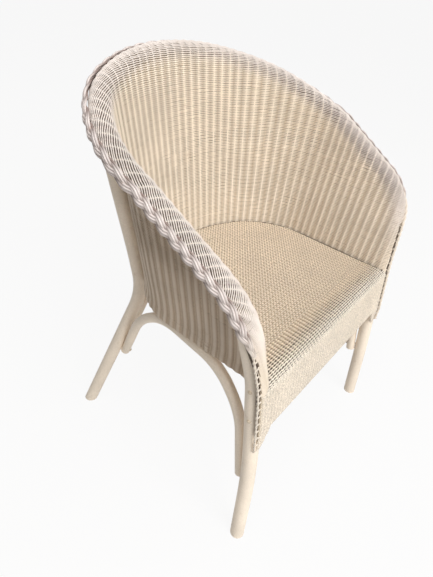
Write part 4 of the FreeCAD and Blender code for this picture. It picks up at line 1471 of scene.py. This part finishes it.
@dataclass
class RimBraid(Woven):
    """Plait of three strands, each of three cords, sewn round the outside of the rim."""

    tub: TubShape
    angle: float = 154.0
    end_angle: float = 136.0
    pitch: float = 72.0
    half_width: float = 4.9
    spread: float = 3.0
    cord: float = 1.75
    end_cord: float = 0.4
    lift: float = 1.7
    dome: float = 0.06
    base: float = 3.9
    end_base: float = 2.4
    taper: Pair = (498.0, 544.0)
    end_share: float = 0.4
    end_paint: float = 0.6
    # painted shade along the plait's strands and on its outer cords
    tone: float = 0.55
    side_tone: float = 0.18
    step: float = 2.5
    strands: int = 3
    cords: int = 3
    sides: int = 8

    def build(self) -> None:
        """Make the plait from one arm's front to the other's."""
        tub = self.tub
        kept = tub.edge_length[tub.edge[:, 1] >= self.taper[0]]
        places = np.arange(kept.min(), kept.max(), self.step)
        full = smooth(self.taper, np.interp(places, tub.edge_length, tub.edge[:, 1]))
        size = between(self.end_share, 1.0, full)
        middle = np.radians(between(self.end_angle, self.angle, full))
        base = tub.roll_radius + between(self.end_base, self.base, full)
        turns = 2 * math.pi * (places - places[0]) / self.pitch
        guides = StrandGuides()
        count = self.strands * self.cords
        for number in range(count):
            strand, cord = divmod(number, self.cords)
            phase = turns + 2 * math.pi * strand / self.strands
            side = self.half_width * size * np.sin(phase)
            slope = np.gradient(side, self.step)
            lean = np.sqrt(1 + slope ** 2)
            off = cord - (self.cords - 1) / 2
            shift = off * self.spread * size
            along = np.clip(places - shift * slope / lean, places[0], places[-1])
            lift = self.lift * size * np.sin(2 * phase) - self.dome * shift ** 2
            points, way = tub.on_roll(along, middle + (side + shift / lean) / base, base + lift)
            # painted shade: cords are lighter where their strand lifts, darker where it dips and on the
            # outer cords
            tone = self.tone + (1.0 - self.tone) * np.sin(2 * phase)
            guides.add_still(points, away=way, thick=self.cord * between(self.end_cord, 1.0, size) * MM,
                             patch=strip(np.linspace(0, 1, len(places)), number, count),
                             rim=self.end_paint * (1.0 - full), crest=tone - self.side_tone * abs(off))
        piece = self.loom.spin("rim_plait", guides, self.finishes.braid, self.sides)
        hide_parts("rim_braid")


class Side(Enum):
    """Sides of the chair, as signs of X."""

    LEFT = -1.0
    RIGHT = 1.0


@dataclass(frozen=True)
class RopePath:
    """How the rope lies on one front post, and its first strips of the bake map."""

    side: Side
    angle: float
    cloth_angle: float
    base: float
    ply: float
    top: float
    tie_top: float
    rope_map: float
    tie_map: float


@dataclass
class PostRope(Woven):
    """Thin two-ply rope down each front post, tied to the cloth across a narrow slit."""

    tub: TubShape
    paths: tuple[RopePath, ...] = (
        RopePath(Side.LEFT, angle=138.0, cloth_angle=121.5, base=1.6, ply=1.25, top=524.0, tie_top=494.0,
                 rope_map=0.0, tie_map=9.0),
        RopePath(Side.RIGHT, angle=85.0, cloth_angle=65.0, base=0.2, ply=1.9, top=560.0, tie_top=506.0,
                 rope_map=1.8, tie_map=49.5))
    top_angle: float = 136.0
    ply_share: float = 0.84
    twist_pitch: float = 22.0
    tie_pitch: float = 16.6
    tie_margin: float = 4.0
    tie_slant: float = 3.0
    tie_radius: float = 1.35
    tie_base: float = -0.6
    tie_points: int = 5
    bottom: float = 264.0
    sink: float = 3.6
    sink_top: float = 306.0
    step: float = 2.5
    strips: int = 90
    strip_pitch: float = 1.8
    sides: int = 6

    def build(self) -> None:
        """Make rope and ties on both posts."""
        guides = StrandGuides()
        for path in self.paths:
            self._rope(guides, path)
            self._ties(guides, path)
        self.loom.spin("post_rope", guides, self.finishes.braid, self.sides)

    def _ends(self, side: Side, high: float) -> Pair:
        """Ends of the part of the edge from the rope's foot to a height on one post.

        Args:
            side: Side of the post.
            high: Height at which the part ends.

        Returns:
            Lengths along the edge.
        """
        edge = self.tub.edge
        kept = (edge[:, 0] * side.value > 0) & (edge[:, 1] >= self.bottom) & (edge[:, 1] <= high)
        lengths = self.tub.edge_length[kept]
        return lengths.min(), lengths.max()

    def _lay(self, guides: StrandGuides, place: Array, angle: Array, radius: Array, thick: float,
             number: float) -> None:
        """Add one strand on the roll.

        Args:
            guides: Lines that it is added to.
            place: Lengths along the edge.
            angle: Angles from the roll's inner side.
            radius: Distances from the roll's centre.
            thick: Radius of the strand.
            number: Number of its strip of the bake map.
        """
        points, way = self.tub.on_roll(place, angle, radius)
        guides.add_still(points, away=way, thick=thick * MM, rim=1.0, crest=1.0,
                         patch=strip(np.linspace(0, 1, len(place)), number, self.strips))

    def _rope(self, guides: StrandGuides, path: RopePath) -> None:
        """Two plies that turn round each other.

        Args:
            guides: Lines that they are added to.
            path: How the rope lies.
        """
        first, last = self._ends(path.side, path.top)
        place = np.arange(first, last, self.step)
        height = np.interp(place, self.tub.edge_length, self.tub.edge[:, 1])
        base = self.tub.roll_radius + path.base
        base = base - self.sink * (1.0 - smooth((self.bottom, self.sink_top), height))
        middle = np.radians(between(path.angle, self.top_angle, smooth((path.tie_top, path.top), height)))
        offset = self.ply_share * path.ply
        for ply in (0, 1):
            turn = 2 * math.pi * (place - first) / self.twist_pitch + ply * math.pi
            self._lay(guides, place, middle + offset * np.cos(turn) / base, base + offset * np.sin(turn),
                      path.ply, path.rope_map + 2 * ply * self.strip_pitch)

    def _ties(self, guides: StrandGuides, path: RopePath) -> None:
        """Short slanted ties from the rope to the cloth.

        Args:
            guides: Lines that they are added to.
            path: How the rope lies.
        """
        first, last = self._ends(path.side, path.tie_top)
        share = np.linspace(0.0, 1.0, self.tie_points)
        angle = np.radians(between(path.cloth_angle, path.angle, share))
        arch = self.tub.roll_radius + self.tie_base + (path.base - self.tie_base) * share
        slant = path.side.value * self.tie_slant * (share - 0.5)
        places = np.arange(first + self.tie_margin, last - self.tie_margin, self.tie_pitch)
        for number, place in enumerate(places):
            self._lay(guides, place + slant, angle, arch, self.tie_radius,
                      path.tie_map + number * self.strip_pitch)


@dataclass
class BentFrame:
    """Legs, arches, bows and fasteners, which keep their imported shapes."""

    painted: tuple[str, ...] = ("front_leg", "back_leg", "side_arch", "rear_arch", "front_rail", "rim_bow")
    metal: tuple[str, ...] = ("screws", "tacks")
    painted_screws: tuple[str, ...] = ("front_leg_screws", "arch_screws")

    def dress(self, finishes: Finishes) -> None:
        """Give every shown solid its finish.

        Args:
            finishes: All finishes.
        """
        for name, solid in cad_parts.items():
            painted_over = name in self.painted_screws
            finish = finishes.screw if painted_over else finishes.by_slot[self._slot(name)]
            solid.data.materials.clear()
            solid.data.materials.append(finish)
            log.info("%s: %s", name, finish.name)

    def _slot(self, name: str) -> Slot:
        """Slot that a solid belongs to.

        Args:
            name: Name of the solid.

        Returns:
            Its slot.
        """
        if any(word in name for word in self.metal):
            return Slot.STEEL
        return Slot.PAINTED_WOOD if name.startswith(self.painted) else Slot.PLAIN_WOOD


@dataclass(frozen=True)
class SoftLamp:
    """Square soft lamp turned towards the chair."""

    name: str
    place: Place
    size: float
    power: float
    target: Place = (0.0, 0.0, 0.5)

    def hang(self) -> None:
        """Put the lamp in the scene."""
        lamp = bpy.data.lights.new(self.name, "AREA")
        lamp.shape = "SQUARE"
        lamp.size = self.size
        lamp.energy = self.power
        holder = placed(self.name, lamp)
        holder.location = self.place
        way = Vector(self.target) - Vector(self.place)
        holder.rotation_euler = way.to_track_quat("-Z", "Y").to_euler()


@dataclass
class Studio:
    """Pale floor, soft lamps and the camera at the photograph's angle."""

    focal_pixels: float = 433.4
    picture: tuple[int, int] = (433, 577)
    place: Place = (-0.6428, -0.40375, 0.9130)
    heading: float = 54.1
    dip: float = 37.2
    roll: float = 7.0
    sensor: float = 36.0
    sight: float = 200.0
    floor_reach: float = 60.0
    floor_white: float = 0.92
    floor_colour: tuple[float, ...] = (0.7, 0.68, 0.66, 1.0)
    sky_colour: tuple[float, ...] = (1.0, 0.99, 0.98, 1.0)
    sky: float = 0.21
    white: tuple[float, ...] = (1.0, 1.0, 1.0, 1.0)
    lamps: tuple[SoftLamp, ...] = (SoftLamp("key_lamp", (-0.65, -2.55, 2.2), size=1.9, power=72.0),
                                   SoftLamp("top_lamp", (-0.5, -0.5, 3.1), size=2.0, power=42.0))

    def build(self) -> None:
        """Set up floor, light and camera."""
        bpy.context.scene.view_settings.view_transform = "Standard"
        self._floor()
        self._world()
        for lamp in self.lamps:
            lamp.hang()
        self._camera()

    @staticmethod
    def _seen(bench: NodeBench) -> NodeSocket:
        """Where a camera, mirror or glass looks at the surface.

        Args:
            bench: Bench of the surface's tree.

        Returns:
            Socket that is 1 there and 0 elsewhere.
        """
        path = bench.add("ShaderNodeLightPath").outputs
        first = bench.math("MAXIMUM", path["Is Camera Ray"], path["Is Glossy Ray"])
        return bench.math("MAXIMUM", first, path["Is Transmission Ray"])

    def _floor(self) -> None:
        """Pale floor that looks white and keeps a soft shadow."""
        mesh = bpy.data.meshes.new("floor")
        reach = self.floor_reach
        mesh.from_pydata([(-reach, -reach, 0), (reach, -reach, 0), (reach, reach, 0), (-reach, reach, 0)],
                         [], [(0, 1, 2, 3)])
        material = bpy.data.materials.new("pale_floor")
        material.use_nodes = True
        material.node_tree.nodes.clear()
        bench = NodeBench(material.node_tree)
        share = bench.math("MULTIPLY", self._seen(bench), self.floor_white)
        plain = bench.out("ShaderNodeBsdfDiffuse", {"Color": self.floor_colour})
        white = bench.out("ShaderNodeEmission", {"Color": self.white, "Strength": 1.0})
        mixed = bench.out("ShaderNodeMixShader", {0: share, 1: plain, 2: white})
        bench.add("ShaderNodeOutputMaterial", {"Surface": mixed})
        mesh.materials.append(material)
        floor = placed("floor", mesh)

    def _world(self) -> None:
        """White to the camera, soft grey light on the chair."""
        world = bpy.data.worlds.new("studio")
        bpy.context.scene.world = world
        world.use_nodes = True
        world.node_tree.nodes.clear()
        bench = NodeBench(world.node_tree)
        light = bench.out("ShaderNodeBackground", {"Color": self.sky_colour, "Strength": self.sky})
        white = bench.out("ShaderNodeBackground", {"Color": self.white, "Strength": 1.0})
        mixed = bench.out("ShaderNodeMixShader", {0: self._seen(bench), 1: light, 2: white})
        bench.add("ShaderNodeOutputWorld", {"Surface": mixed})

    def _camera(self) -> None:
        """Camera whose place and angle were fitted to the photograph."""
        lens = bpy.data.cameras.new("camera")
        lens.sensor_width = self.sensor
        lens.lens = self.focal_pixels / max(self.picture) * self.sensor
        lens.clip_end = self.sight
        heading, dip, roll = (math.radians(angle) for angle in (self.heading, self.dip, self.roll))
        ahead = Vector((math.sin(heading) * math.cos(dip), math.cos(heading) * math.cos(dip),
                        -math.sin(dip)))
        right = ahead.cross(Vector((0, 0, 1))).normalized()
        up = right.cross(ahead)
        side = right * math.cos(roll) + up * math.sin(roll)
        top = up * math.cos(roll) - right * math.sin(roll)
        camera = placed("camera", lens)
        turn = Matrix((side, top, -ahead)).transposed().to_4x4()
        camera.matrix_world = Matrix.Translation(self.place) @ turn
        bpy.context.scene.camera = camera


def main() -> None:
    """Build the chair's looks in order."""
    logging.basicConfig(level=logging.INFO, format="%(message)s")
    Studio().build()
    finishes = Finishes(ShaderKit())
    BentFrame().dress(finishes)
    loom = Loom()
    tub = TubShape()
    TubWeave(loom, finishes, tub).build()
    SeatWeave(loom, finishes, SeatShape(tub)).build()
    RimBraid(loom, finishes, tub).build()
    PostRope(loom, finishes, tub).build()


if __name__ == "__main__":
    main()
